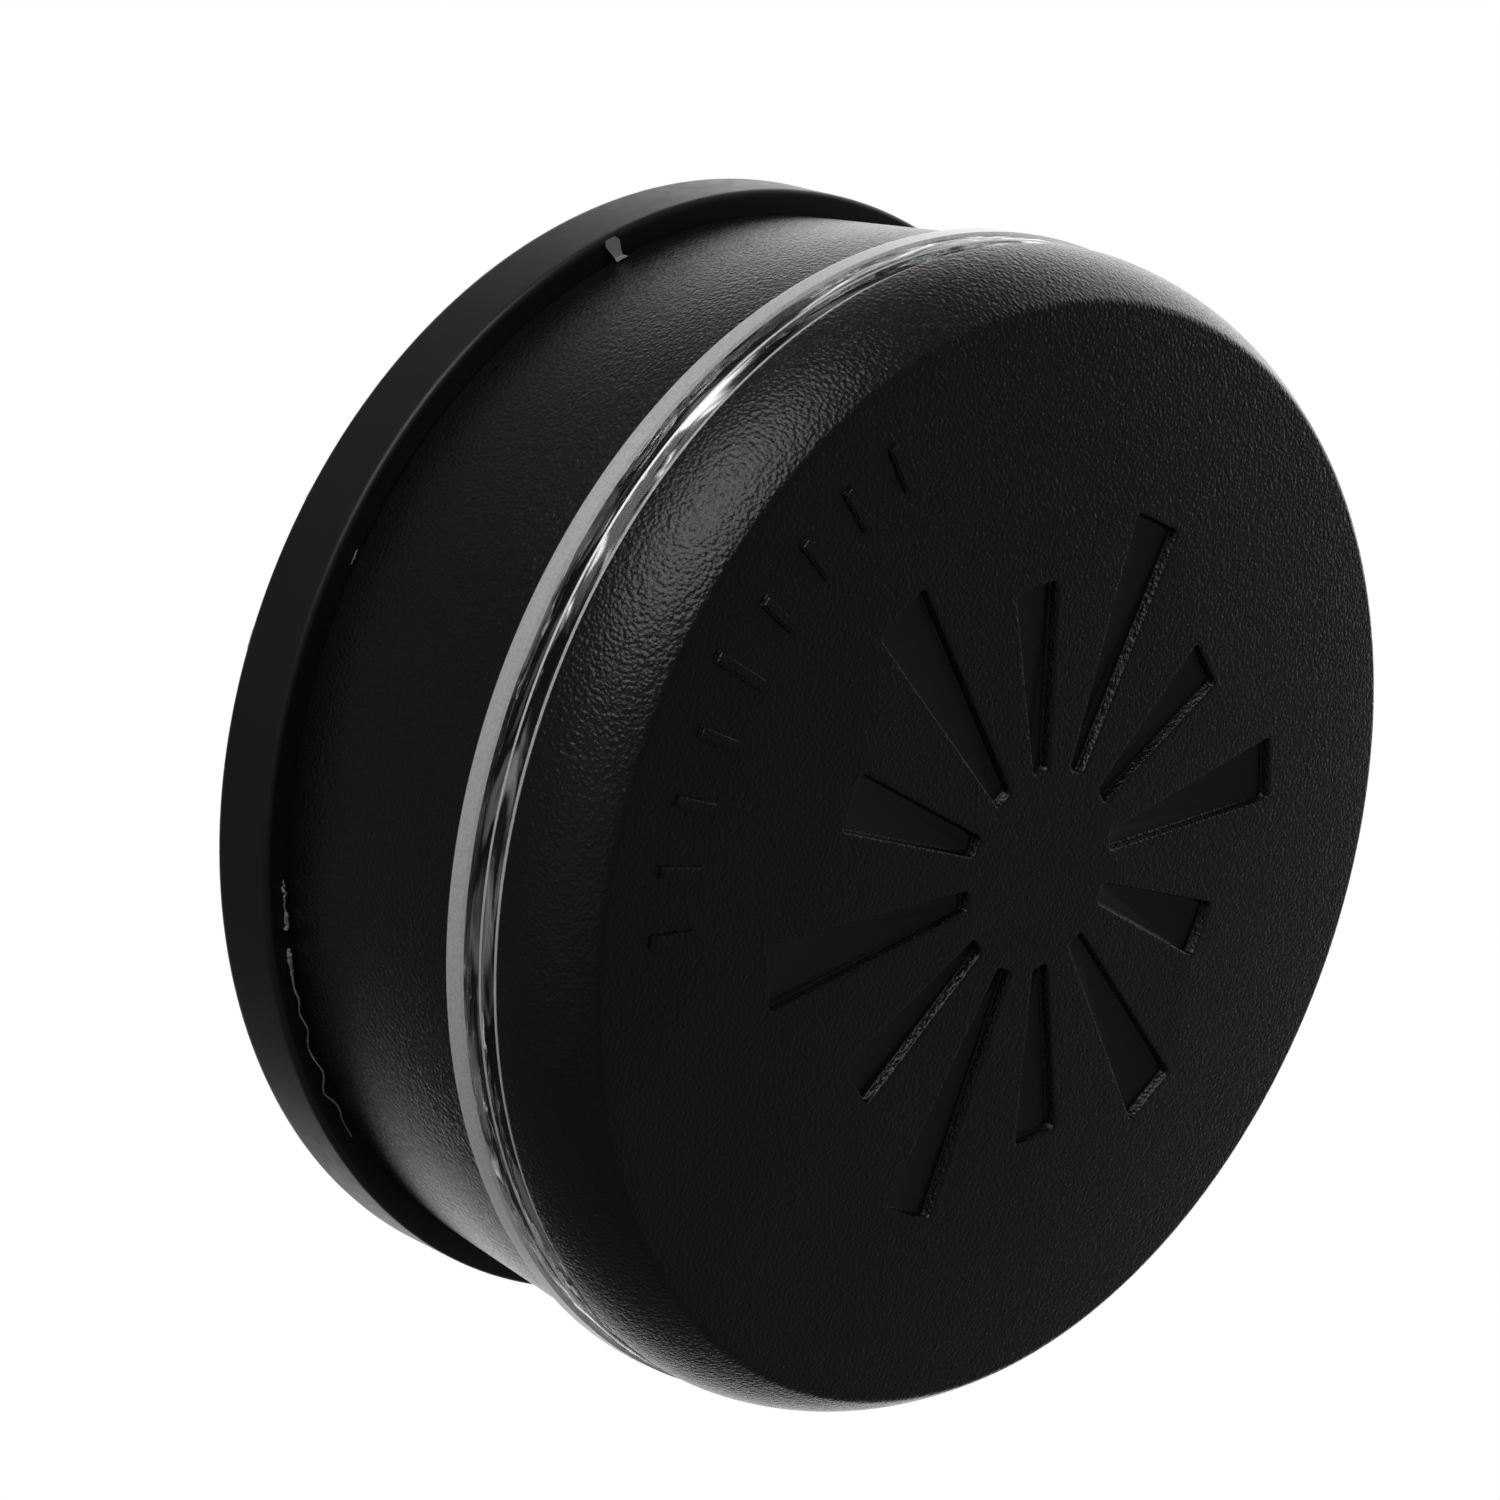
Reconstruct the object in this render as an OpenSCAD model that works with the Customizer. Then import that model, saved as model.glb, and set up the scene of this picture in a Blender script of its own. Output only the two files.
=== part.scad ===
/* [Outside] */
// Diameter of the clear lens ring, the widest part of the lamp
lamp_d = 70; // [60:0.5:90]
// Thickness of the rim gasket under the base
gasket_t = 0.8; // [0.5:0.1:1.2]
// Thickness of the mounting base
base_t = 4.6; // [4.2:0.1:5]
// Height of the housing side, from the base to the lens ring
housing_h = 15.9; // [15.9:0.1:20]
// Height of the visible edge of the lens ring
lens_h = 3.8; // [3.6:0.1:4.4]
// Height of the cap above the lens ring, at its centre
cap_h = 7.2; // [7:0.1:9]
// How much the face of the cap is crowned
cap_crown = 1.6; // [1.2:0.1:1.8]
// How far the shoulder of the cap leans in from the rim up to the crest
shoulder_w = 2.3; // [2:0.1:2.8]
// Inward lean of the housing side from the lens ring down to its foot
housing_draft = 1.4; // [0.5:0.1:1.6]

/* [Face marks] */
// Number of rays in the sun symbol
ray_count = 12; // [8:1:16]
// Depth of the rays below the face
ray_depth = 0.6; // [0.3:0.1:1]
// Number of raised index bars along the edge of the face
bar_count = 9; // [5:1:13]
// Angle between two index bars
bar_pitch = 7.5; // [6:0.5:9]
// How far the index bars stand proud
bar_proud = 0.25; // [0.15:0.05:0.35]

/* [Fixings] */
// Circle that the threaded inserts lie on
insert_pcd = 40; // [38:1:42]
// Bore of an M4 threaded insert
insert_bore_d = 3.3; // [3.2:0.05:3.4]
// Shank diameter of the case screws
case_screw_d = 3; // [2.5:0.1:3]
// Bore of the cable gland
cable_d = 5.2; // [4:0.1:6]

/* [Light source] */
// Number of light-emitting diodes
led_count = 12; // [8:1:16]
// Side of one diode package
led_w = 3; // [2.6:0.1:3]

/* [Hidden] */
$fn = 96;

// Heights of the joints between the outer pieces, from the mounting surface up
z_base = gasket_t;
z_housing = z_base + base_t;
z_lens = z_housing + housing_h;
z_cap = z_lens + lens_h;
z_top = z_cap + cap_h;

// Outer radii
lens_r = lamp_d / 2;
lens_front_r = lens_r - 0.55;
base_r = lens_r - 0.4;
housing_top_r = lens_r - 0.5;
housing_foot_r = housing_top_r - housing_draft;
cap_edge_r = lens_r - 0.2;
cap_face_r = cap_edge_r - shoulder_w;

// Inner stack: the deck carries the light source, and the driver hangs below it
bore_r = lens_r - 4.4;
seat_r = bore_r + 1.2;
seat_depth = 1.5;
deck_t = 2.5;
pad_t = 0.4;
led_board_t = 1.5;
led_t = 0.75;
ledge_t = 2;
z_deck = z_lens - 5.5;
z_deck_top = z_deck + deck_t;
z_led_board = z_deck_top + pad_t;
z_leds = z_led_board + led_board_t;
driver_board_t = 1.6;
standoff_h = 3.2;
z_driver_top = z_deck - standoff_h;
z_driver = z_driver_top - driver_board_t;
z_cap_roof = z_top - cap_crown - 1.3;
z_rib = z_top - 5.5;

// Fixing circles and clocking
boss_pcr = bore_r - 3.4;
boss_r = 3.6;
base_screw_angles = [30, 150, 270];
deck_screw_angles = [90, 210, 330];
post_pcr = 13;
post_r = 3.2;
standoff_pcr = 18;
led_board_screw_pcr = 18.8;
led_board_screw_angles = [60, 180, 300];
led_pcr = 22.3;
link_pcr = 20;
link_pitch = 2.54;
ring_board_in_r = 17;
ring_board_out_r = boss_pcr - 3;
driver_board_r = boss_pcr - boss_r - 0.4;
running_gap = 0.1;

// Seal cords lie in square grooves
cord_d = 0.9;
seal_r = lens_r - 2;

function arc_points(a_from, a_to, steps, r, h, r0, z0) =
    [for (i = [0:steps]) let (a = a_from + (a_to - a_from) * i / steps) [r0 + r * cos(a), z0 + h * sin(a)]];

// The shoulder is an arc that starts nearly upright at the rim. A small fillet, the crest, joins it to the
// face, which is crowned outside a small flat in the middle.
shoulder_r = 10;
crest_r = 0.7;
crown_steps = 8;
face_flat_r = 4;
rim_point = [cap_edge_r, z_cap];
crest_point = [cap_face_r, z_top - cap_crown];
shoulder_chord = crest_point - rim_point;
chord_l = norm(shoulder_chord);
shoulder_centre = (rim_point + crest_point) / 2
    + [-shoulder_chord[1], shoulder_chord[0]] / chord_l * sqrt(pow(shoulder_r, 2) - pow(chord_l / 2, 2));
rim_spoke = rim_point - shoulder_centre;
face_lean = atan(2 * cap_crown / (cap_face_r - face_flat_r));
crest_reach = (crest_point - shoulder_centre) * [sin(face_lean), cos(face_lean)] - crest_r;
crest_angle = asin(crest_reach / (shoulder_r - crest_r)) - face_lean;
crest_centre = shoulder_centre + (shoulder_r - crest_r) * [cos(crest_angle), sin(crest_angle)];
face_edge_r = crest_centre[0] + crest_r * sin(face_lean);
function face_z(r) = z_top - cap_crown * pow(max(0, r - face_flat_r) / (cap_face_r - face_flat_r), 2);
// Outline of the cap from its rim over the shoulder and crest to the middle of the face, grown by extra
function cap_outline(extra) = concat(
    arc_points(atan2(rim_spoke[1], rim_spoke[0]), crest_angle, 12, shoulder_r + extra, shoulder_r + extra,
        shoulder_centre[0], shoulder_centre[1]),
    arc_points(crest_angle + 6, 90 - face_lean, 6, crest_r + extra, crest_r + extra,
        crest_centre[0], crest_centre[1]),
    [for (i = [1:crown_steps]) let (r = face_edge_r + (face_flat_r - face_edge_r) * i / crown_steps)
        [r, face_z(r) + extra]],
    [[0, z_top + extra]]);
module around(angles, r) {
    for (a = angles) rotate([0, 0, a]) translate([r, 0, 0]) children();
}

module tube(outer_r, inner_r, z0, h) {
    translate([0, 0, z0]) difference() {
        cylinder(r = outer_r, h = h);
        translate([0, 0, -1]) cylinder(r = inner_r, h = h + 2);
    }
}

module seal_ring(z) {
    rotate_extrude() translate([seal_r, z]) circle(d = cord_d, $fn = 32);
}

// A pan-head screw with its head under the origin and its shank up, with a cross recess
module pan_screw(head_r, head_h, shank_r, shank_l) {
    difference() {
        union() {
            translate([0, 0, -head_h]) cylinder(r = head_r, h = head_h);
            cylinder(r = shank_r, h = shank_l);
        }
        cross_recess(head_r, -head_h, head_h * 0.55);
    }
}

module cross_recess(head_r, z, depth) {
    for (a = [0, 90]) rotate([0, 0, a])
        translate([-head_r * 0.55, -head_r * 0.13, z - 1]) cube([head_r * 1.1, head_r * 0.26, depth + 1]);
}

module base_gasket() {
    color("#c9c7bf") tube(base_r - 0.5, bore_r, 0, gasket_t);
}

// Plate with a locating spigot, insert bosses, screw countersinks and the gland and vent holes
insert_l = 5.6;
spigot_h = 3;
countersink_r = 2.9;
countersink_h = 1.7;
gland_neck_r = 6;
gland_flange_r = 8;
gland_flange_h = 1;
vent_pcr = 14;
vent_angle = 180;
vent_body_r = 2.4;
vent_head_r = 3.6;
vent_head_h = 1.2;
sealant_groove_h = 0.6;
module mounting_base() {
    color("#161616") difference() {
        union() {
            translate([0, 0, z_base]) cylinder(r = base_r, h = base_t);
            tube(bore_r - running_gap, boss_pcr + 1.7, z_housing, spigot_h);
            around(deck_screw_angles, insert_pcd / 2)
                translate([0, 0, z_housing - 1]) cylinder(r = 4.6, h = 3.2);
        }
        around(deck_screw_angles, insert_pcd / 2)
            translate([0, 0, z_base - 1]) cylinder(r = 2.8, h = insert_l + 1.2);
        around(base_screw_angles, boss_pcr) {
            translate([0, 0, z_base - 1]) cylinder(d = case_screw_d + 0.2, h = base_t + 2);
            translate([0, 0, z_base])
                cylinder(r1 = countersink_r + 0.05, r2 = case_screw_d / 2 + 0.05, h = countersink_h);
        }
        translate([0, 0, z_base - 1]) cylinder(r = gland_neck_r, h = base_t + 2);
        translate([0, 0, z_base - 1]) cylinder(r = gland_flange_r, h = gland_flange_h + 1);
        around([vent_angle], vent_pcr) {
            translate([0, 0, z_base - 1]) cylinder(r = vent_body_r, h = base_t + 2);
            translate([0, 0, z_base - 1]) cylinder(r = vent_head_r, h = vent_head_h + 1);
        }
        sealant_ring(1);
    }
}

// Brass inserts moulded into the base, open to the back
module threaded_inserts() {
    color("#c8a24a") around(deck_screw_angles, insert_pcd / 2) difference() {
        translate([0, 0, z_base]) cylinder(r = 2.8, h = insert_l);
        translate([0, 0, z_base - 1]) cylinder(d = insert_bore_d, h = insert_l + 2);
    }
}

module base_screws() {
    color("#b9bbbd") around(base_screw_angles, boss_pcr) difference() {
        union() {
            translate([0, 0, z_base])
                cylinder(r1 = countersink_r, r2 = case_screw_d / 2, h = countersink_h);
            translate([0, 0, z_base]) cylinder(d = case_screw_d, h = base_t + 9);
        }
        cross_recess(countersink_r, z_base, 1.1);
    }
}

gland_h = 8.2;
module cable_gland() {
    color("#202020") difference() {
        union() {
            translate([0, 0, z_base]) cylinder(r = gland_flange_r, h = gland_flange_h);
            translate([0, 0, z_base]) cylinder(r = gland_neck_r, h = base_t);
            translate([0, 0, z_housing]) cylinder(r = gland_flange_r, h = 1.2);
            translate([0, 0, z_housing + 1.2])
                cylinder(r1 = gland_neck_r, r2 = cable_d / 2 + 1.2, h = gland_h - base_t - 1.2);
        }
        translate([0, 0, z_base - 1]) cylinder(d = cable_d, h = gland_h + 2);
    }
}

module vent_plug() {
    color("#d8d8d4") around([vent_angle], vent_pcr) difference() {
        union() {
            translate([0, 0, z_base]) cylinder(r = vent_head_r, h = vent_head_h);
            translate([0, 0, z_base]) cylinder(r = vent_body_r, h = base_t);
        }
        around([0:60:300], 1.4) translate([0, 0, z_base - 1]) cylinder(r = 0.35, h = base_t);
    }
}

// Bond line between base and housing, sunk in a groove; over adds to its top for cutting the groove
module sealant_ring(over) {
    tube(housing_foot_r - 0.7, bore_r + 0.6, z_housing - sealant_groove_h, sealant_groove_h + over);
}

module joint_sealant() {
    color("#9fa3a4") sealant_ring(0);
}

// A boss with a web that ties it to the wall
z_boss = z_housing + spigot_h + 0.2;
web_w = 5;
module wall_boss(h) {
    intersection() {
        union() {
            cylinder(r = boss_r, h = h);
            translate([0, -web_w / 2, 0]) cube([bore_r + 2 - boss_pcr, web_w, h]);
        }
        translate([-boss_pcr, 0, 0]) cylinder(r = bore_r + 1, h = h);
    }
}

// Drafted side with an inner ledge for the deck, screw bosses and a stepped seat for the lens ring
module housing() {
    color("#1c1c1c") difference() {
        union() {
            translate([0, 0, z_housing]) difference() {
                cylinder(r1 = housing_foot_r, r2 = housing_top_r, h = housing_h);
                translate([0, 0, -1]) cylinder(r = bore_r, h = housing_h + 2);
            }
            tube(bore_r + 0.5, boss_pcr - 0.7, z_deck - ledge_t, ledge_t);
            around(concat(base_screw_angles, deck_screw_angles), boss_pcr)
                translate([0, 0, z_boss]) wall_boss(z_deck - ledge_t / 2 - z_boss);
        }
        around(base_screw_angles, boss_pcr)
            translate([0, 0, z_housing]) cylinder(d = case_screw_d, h = 9.2);
        around(deck_screw_angles, boss_pcr)
            translate([0, 0, z_deck - 6]) cylinder(d = case_screw_d, h = 7);
        translate([0, 0, z_lens - seat_depth]) cylinder(r = seat_r, h = seat_depth + 1);
        tube(seal_r + cord_d / 2 + 0.15, seal_r - cord_d / 2 - 0.15, z_lens - cord_d, cord_d + 1);
    }
}

// A pin fin is kept only where it clears every screw, spacer and lead below the deck
fin_r = 0.9;
fin_h = 2.4;
fin_pitch = 4.3;
fin_clearance = 4;
function polar(r, a) = [r * cos(a), r * sin(a)];
deck_obstacles = concat([for (a = base_screw_angles) polar(post_pcr, a)],
    [for (a = deck_screw_angles) polar(standoff_pcr, a)], [polar(link_pcr, 0)]);
function is_clear(p) = min([for (o = deck_obstacles) norm(p - o)]) > fin_clearance;
module heat_sink() {
    color("#a8abad") difference() {
        union() {
            translate([0, 0, z_deck]) cylinder(r = bore_r - running_gap, h = deck_t);
            for (ring = [2:5], k = [0:ring * 6 - 1]) {
                spot = polar(ring * fin_pitch, k * 60 / ring);
                if (is_clear(spot))
                    translate([spot[0], spot[1], z_deck - fin_h])
                        cylinder(r = fin_r, h = fin_h + 0.5, $fn = 24);
            }
        }
        around(deck_screw_angles, boss_pcr)
            translate([0, 0, z_deck - 1]) cylinder(d = case_screw_d + 0.2, h = deck_t + 2);
        around(base_screw_angles, post_pcr)
            translate([0, 0, z_deck - 1]) cylinder(d = case_screw_d + 0.2, h = deck_t + 2);
        around(led_board_screw_angles, led_board_screw_pcr)
            translate([0, 0, z_deck + 0.3]) cylinder(r = 1, h = deck_t);
        around(deck_screw_angles, standoff_pcr) translate([0, 0, z_deck - 1]) cylinder(r = 1.25, h = 2.6);
        link_holes(1.3);
    }
}

module link_holes(r) {
    for (side = [-0.5, 0.5])
        translate([link_pcr, side * link_pitch, z_driver - 1]) cylinder(r = r, h = 14);
}

module deck_screws() {
    color("#b9bbbd") around(deck_screw_angles, boss_pcr)
        translate([0, 0, z_deck_top]) mirror([0, 0, 1]) pan_screw(2.6, 1.6, case_screw_d / 2, deck_t + 5.4);
}

module thermal_pad() {
    color("#7f93a8") difference() {
        tube(ring_board_out_r, ring_board_in_r, z_deck_top, pad_t);
        around(led_board_screw_angles, led_board_screw_pcr)
            translate([0, 0, z_deck_top - 1]) cylinder(r = 1.1, h = 3);
        link_holes(1.3);
    }
}

module led_board() {
    color("#e6e8e4") difference() {
        tube(ring_board_out_r, ring_board_in_r, z_led_board, led_board_t);
        around(led_board_screw_angles, led_board_screw_pcr)
            translate([0, 0, z_led_board - 1]) cylinder(r = 1.1, h = 4);
        link_holes(0.4);
    }
}

module led_board_screws() {
    shank_l = led_board_t + pad_t + deck_t - 0.5;
    color("#b9bbbd") around(led_board_screw_angles, led_board_screw_pcr)
        translate([0, 0, z_leds]) mirror([0, 0, 1]) pan_screw(1.7, 1.2, 1, shank_l);
}

// A diode is a ceramic base with a round dome of silicone on it
module leds() {
    angles = [for (i = [0:led_count - 1]) (i + 0.5) * 360 / led_count];
    color("#f1e3a0") around(angles, led_pcr) {
        translate([-led_w / 2, -led_w / 2, z_leds]) cube([led_w, led_w, led_t * 0.6]);
        translate([0, 0, z_leds + led_t * 0.6]) cylinder(r = led_w * 0.42, h = led_t * 0.4);
    }
}

module shade_ring() {
    color("#141414") tube(bore_r - 0.7, ring_board_out_r + 0.2, z_deck_top + 1.6, 1);
}

// Metallised 45 degree cone that turns the light of the diodes outwards through the lens ring
cone_foot = [21, z_leds + 1];
cone_run = 5;
module reflector() {
    color("#d9dadb") rotate_extrude() polygon([
        [cone_foot[0] - 0.4, cone_foot[1]],
        cone_foot,
        [cone_foot[0] + cone_run, cone_foot[1] + cone_run],
        [cone_foot[0] + cone_run, z_rib],
        [ring_board_in_r + 0.2, z_rib],
        [ring_board_in_r + 0.2, z_rib - 1.2],
        [cone_foot[0] - 0.4, z_rib - 1.2]]);
}

module lens_seal() {
    color("#3a3a3a") seal_ring(z_lens - cord_d / 2);
}

// Outer edge with a satin band at the back, spigots up and down, and a bulged inner face
spigot_in_r = bore_r - 0.6;
satin_band_h = 1.4;
bulge = 0.8;
module lens_ring() {
    color("#dfe7ea") rotate_extrude() polygon(concat(
        [[spigot_in_r, z_lens - seat_depth + 0.1],
            [seat_r - running_gap, z_lens - seat_depth + 0.1],
            [seat_r - running_gap, z_lens],
            [lens_r, z_lens],
            [lens_r - 0.1, z_lens + satin_band_h],
            [lens_front_r, z_cap],
            [seat_r - running_gap, z_cap],
            [seat_r - running_gap, z_cap + 1.3],
            [spigot_in_r, z_cap + 1.3]],
        arc_points(90, 270, 12, bulge, lens_h / 2, spigot_in_r, z_lens + lens_h / 2)));
}

module cap_seal() {
    color("#3a3a3a") seal_ring(z_cap + cord_d / 2);
}

// Straight tapered rays of a plain sun symbol, long and short in turn. Their floors follow the crown.
ray_foot_r = 6;
ray_tip_r = 21;
short_ray_tip_r = 17;
ray_foot_w = 1.2;
ray_tip_w = 4;
module sun_rays() {
    difference() {
        for (i = [0:ray_count - 1]) {
            tip_r = i % 2 == 0 ? ray_tip_r : short_ray_tip_r;
            ray = [[ray_foot_r, -ray_foot_w / 2], [tip_r, -ray_tip_w / 2],
                [tip_r, ray_tip_w / 2], [ray_foot_r, ray_foot_w / 2]];
            rotate([0, 0, i * 360 / ray_count]) translate([0, 0, z_top - 3])
                linear_extrude(height = 4) polygon(ray);
        }
        rotate_extrude() polygon(concat([[0, z_cap]], cap_outline(-ray_depth)));
    }
}

// Raised bars along the edge of the face that show the lamp's fore-and-aft line; the middle one is longer
bar_w = 0.7;
bar_l = 2.8;
middle_bar_l = 3.8;
bar_in_r = 26.6;
bar_middle_angle = -99;
module index_bars() {
    intersection() {
        rotate_extrude() polygon(concat([[0, z_cap]], cap_outline(bar_proud)));
        for (i = [0:bar_count - 1]) {
            step = i - (bar_count - 1) / 2;
            length = step == 0 ? middle_bar_l : bar_l;
            rotate([0, 0, bar_middle_angle + step * bar_pitch])
                translate([bar_in_r, -bar_w / 2, z_top - 2.5]) cube([length, bar_w, 4]);
        }
    }
}

rib_r = 24.8;
module top_cap() {
    color("#1a1a1a") difference() {
        union() {
            rotate_extrude() polygon(concat([[0, z_cap]], cap_outline(0)));
            index_bars();
            around(base_screw_angles, post_pcr)
                translate([0, 0, z_deck_top]) cylinder(r = post_r, h = z_cap - z_deck_top + 1);
        }
        difference() {
            rotate_extrude() polygon([
                [0, z_cap - 1],
                [seat_r, z_cap - 1],
                [seat_r, z_cap + 1.4],
                [bore_r - 0.6, z_cap + 1.4],
                [bore_r - 0.6, z_cap_roof - 1.5],
                [bore_r - 2.1, z_cap_roof],
                [0, z_cap_roof]]);
            around(base_screw_angles, post_pcr)
                translate([0, 0, z_deck_top - 1]) cylinder(r = post_r, h = 20);
            tube(rib_r + 0.8, rib_r - 0.8, z_rib, 10);
        }
        around(base_screw_angles, post_pcr)
            translate([0, 0, z_deck_top - 1]) cylinder(d = case_screw_d, h = 8);
        tube(seal_r + cord_d / 2 + 0.15, seal_r - cord_d / 2 - 0.15, z_cap - 1, cord_d + 1);
        sun_rays();
    }
}

module cap_screws() {
    color("#b9bbbd") around(base_screw_angles, post_pcr)
        translate([0, 0, z_deck]) pan_screw(2.6, 1.8, case_screw_d / 2, deck_t + 6);
}

module board_standoffs() {
    color("#c8a24a") around(deck_screw_angles, standoff_pcr) difference() {
        translate([0, 0, z_driver_top]) cylinder(r = 2.4, h = standoff_h, $fn = 6);
        translate([0, 0, z_driver_top - 1]) cylinder(r = 1.25, h = standoff_h + 2);
    }
}

module driver_board() {
    color("#1f5a38") difference() {
        translate([0, 0, z_driver]) cylinder(r = driver_board_r, h = driver_board_t);
        around(deck_screw_angles, standoff_pcr) translate([0, 0, z_driver - 1]) cylinder(r = 1.3, h = 4);
        link_holes(0.4);
    }
}

module driver_screws() {
    color("#b9bbbd") around(deck_screw_angles, standoff_pcr)
        translate([0, 0, z_driver]) pan_screw(2.2, 1.4, 1.25, driver_board_t + standoff_h + 1);
}

// A block with its top against the underside of the driver board
module under_board(x, y, size) {
    translate([x - size[0] / 2, y - size[1] / 2, z_driver - size[2]]) cube(size);
}

chip_x = 13;
chip_y = 7.5;
module driver_chip() {
    color("#111111") union() {
        under_board(chip_x, chip_y, [5, 4, 1.5]);
        for (pin = [-1.5:1.5], side = [-1, 1])
            under_board(chip_x + pin * 1.27, chip_y + side * 2.5, [0.45, 1.2, 0.4]);
    }
}

module inductor() {
    color("#5b5b5e") difference() {
        under_board(-15, 0, [7, 7, 4]);
        translate([-15, 0, z_driver - 5]) cylinder(r = 2, h = 1.6);
    }
}

module capacitors() {
    color("#9aa4b4") for (spot = [[-12.5, 9.5], [-7, 13.5]]) {
        under_board(spot[0], spot[1], [5.2, 5.2, 0.8]);
        translate([spot[0], spot[1], z_driver - 4.4]) cylinder(r = 2.5, h = 3.6);
    }
}

module protection_diodes() {
    color("#222222") for (y = [-10, -14.5]) {
        under_board(8.5, y, [4.3, 3.6, 2.3]);
        under_board(8.5, y, [5.6, 2, 0.3]);
    }
}

module supply_terminal() {
    color("#2e7d46") difference() {
        under_board(0, -15.5, [7, 6, 4.4]);
        for (x = [-1.75, 1.75])
            translate([x, -12, z_driver - 2.8]) rotate([90, 0, 0]) cylinder(r = 1.1, h = 4);
    }
}

module link_pins() {
    color("#c8a24a") for (side = [-0.5, 0.5])
        translate([link_pcr, side * link_pitch, z_driver - 0.8])
            cylinder(r = 0.4, h = z_leds - z_driver + 1.4);
}

module link_insulators() {
    color("#e8e4d8") for (side = [-0.5, 0.5]) translate([link_pcr, side * link_pitch, 0])
        tube(1.2, 0.4, z_driver_top, z_led_board - z_driver_top);
}

base_gasket();
mounting_base();
threaded_inserts();
base_screws();
cable_gland();
vent_plug();
joint_sealant();
housing();
heat_sink();
deck_screws();
thermal_pad();
led_board();
led_board_screws();
leds();
shade_ring();
reflector();
lens_seal();
lens_ring();
cap_seal();
top_cap();
cap_screws();
board_standoffs();
driver_board();
driver_screws();
driver_chip();
inductor();
capacitors();
protection_diodes();
supply_terminal();
link_pins();
link_insulators();
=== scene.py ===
"""Looks of a compact all-round navigation light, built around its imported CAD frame.

The lamp is a stack of round mouldings: a flat mounting base with a foam gasket under it, a drafted housing, a
clear lens ring and a cap with a crowned face. The pieces that show are made again here as fine meshes on the
frame's own sizes. The pieces shut inside keep their CAD shapes and get their finishes. Sizes are in
millimetres.
"""

import math
import random

import bmesh
import bpy
from mathutils import Matrix, Quaternion, Vector, geometry, noise


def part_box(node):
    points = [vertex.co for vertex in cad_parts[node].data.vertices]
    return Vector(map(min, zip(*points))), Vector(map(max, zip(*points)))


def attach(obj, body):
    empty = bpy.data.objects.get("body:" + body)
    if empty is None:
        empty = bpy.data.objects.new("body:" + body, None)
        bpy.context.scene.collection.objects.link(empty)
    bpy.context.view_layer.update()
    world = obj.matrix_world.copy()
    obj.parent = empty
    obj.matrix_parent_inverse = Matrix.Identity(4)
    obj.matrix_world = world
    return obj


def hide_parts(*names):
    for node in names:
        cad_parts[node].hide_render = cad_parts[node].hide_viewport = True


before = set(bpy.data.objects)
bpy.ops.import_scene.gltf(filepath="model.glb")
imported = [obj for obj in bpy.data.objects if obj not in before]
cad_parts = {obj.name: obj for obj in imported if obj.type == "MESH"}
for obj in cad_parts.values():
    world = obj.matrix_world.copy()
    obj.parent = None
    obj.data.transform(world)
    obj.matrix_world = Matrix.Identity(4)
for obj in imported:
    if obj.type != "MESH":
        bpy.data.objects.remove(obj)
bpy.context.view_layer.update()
MM = 0.001


# ---- Camera, floor and light -------------------------------------------------------------------------------
# The lamp stands on its base on a plain white sweep. The camera looks down on it from the side of the index
# bars and is rolled, so that the lamp's axis runs across the picture.
CAMERA_AIM = (-0.86, 0.0, 8.06)
CAMERA_DISTANCE = 255.4
CAMERA_AZIMUTH = 0.26
CAMERA_ELEVATION = 42.36
CAMERA_ROLL = 109.8
CAMERA_LENS = 100.8
FLOOR_HALF = 2000


def direction(azimuth, elevation):
    """Unit vector from the lamp: azimuth 0 is the -Y side, and 90 the +X side, in degrees."""
    a, e = math.radians(azimuth), math.radians(elevation)
    return Vector((math.sin(a) * math.cos(e), -math.cos(a) * math.cos(e), math.sin(e)))


def linear(colour):
    """Linear RGBA from an sRGB hex colour such as "#1a1a1a"."""
    channels = [int(colour[i : i + 2], 16) / 255 for i in (1, 3, 5)]
    return (*[c / 12.92 if c <= 0.04045 else ((c + 0.055) / 1.055) ** 2.4 for c in channels], 1.0)


def add(tree, kind, links=None, inputs=None, **settings):
    """Adds a node with its settings, its constant inputs and its links: input to another node's output."""
    node = tree.nodes.new(kind)
    for key, value in settings.items():
        setattr(node, key, value)
    for key, value in (inputs or {}).items():
        node.inputs[key].default_value = value
    for key, source in (links or {}).items():
        tree.links.new(source, node.inputs[key])
    return node


def put(mesh, name):
    """Links a mesh into the scene as an object."""
    made = bpy.data.objects.new(name, mesh)
    bpy.context.scene.collection.objects.link(made)
    return made


camera = put(bpy.data.cameras.new("camera"), "camera")
camera.data.lens = CAMERA_LENS
camera.data.sensor_width = 36
camera.data.clip_start = 0.01
to_camera = direction(CAMERA_AZIMUTH, CAMERA_ELEVATION)
camera.location = (Vector(CAMERA_AIM) + to_camera * CAMERA_DISTANCE) * MM
camera.rotation_mode = "QUATERNION"
level = (-to_camera).to_track_quat("-Z", "Y")
camera.rotation_quaternion = level @ Quaternion((0, 0, 1), math.radians(CAMERA_ROLL))
bpy.context.scene.camera = camera
bpy.context.scene.view_settings.view_transform = "Standard"

floor_mesh = bpy.data.meshes.new("floor")
corner = FLOOR_HALF * MM
floor_corners = [(-corner, -corner, 0), (corner, -corner, 0), (corner, corner, 0), (-corner, corner, 0)]
floor_mesh.from_pydata(floor_corners, [], [(0, 1, 2, 3)])
floor = put(floor_mesh, "floor")
floor.visible_glossy = False
floor.visible_diffuse = False
floor.visible_shadow = False
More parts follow.
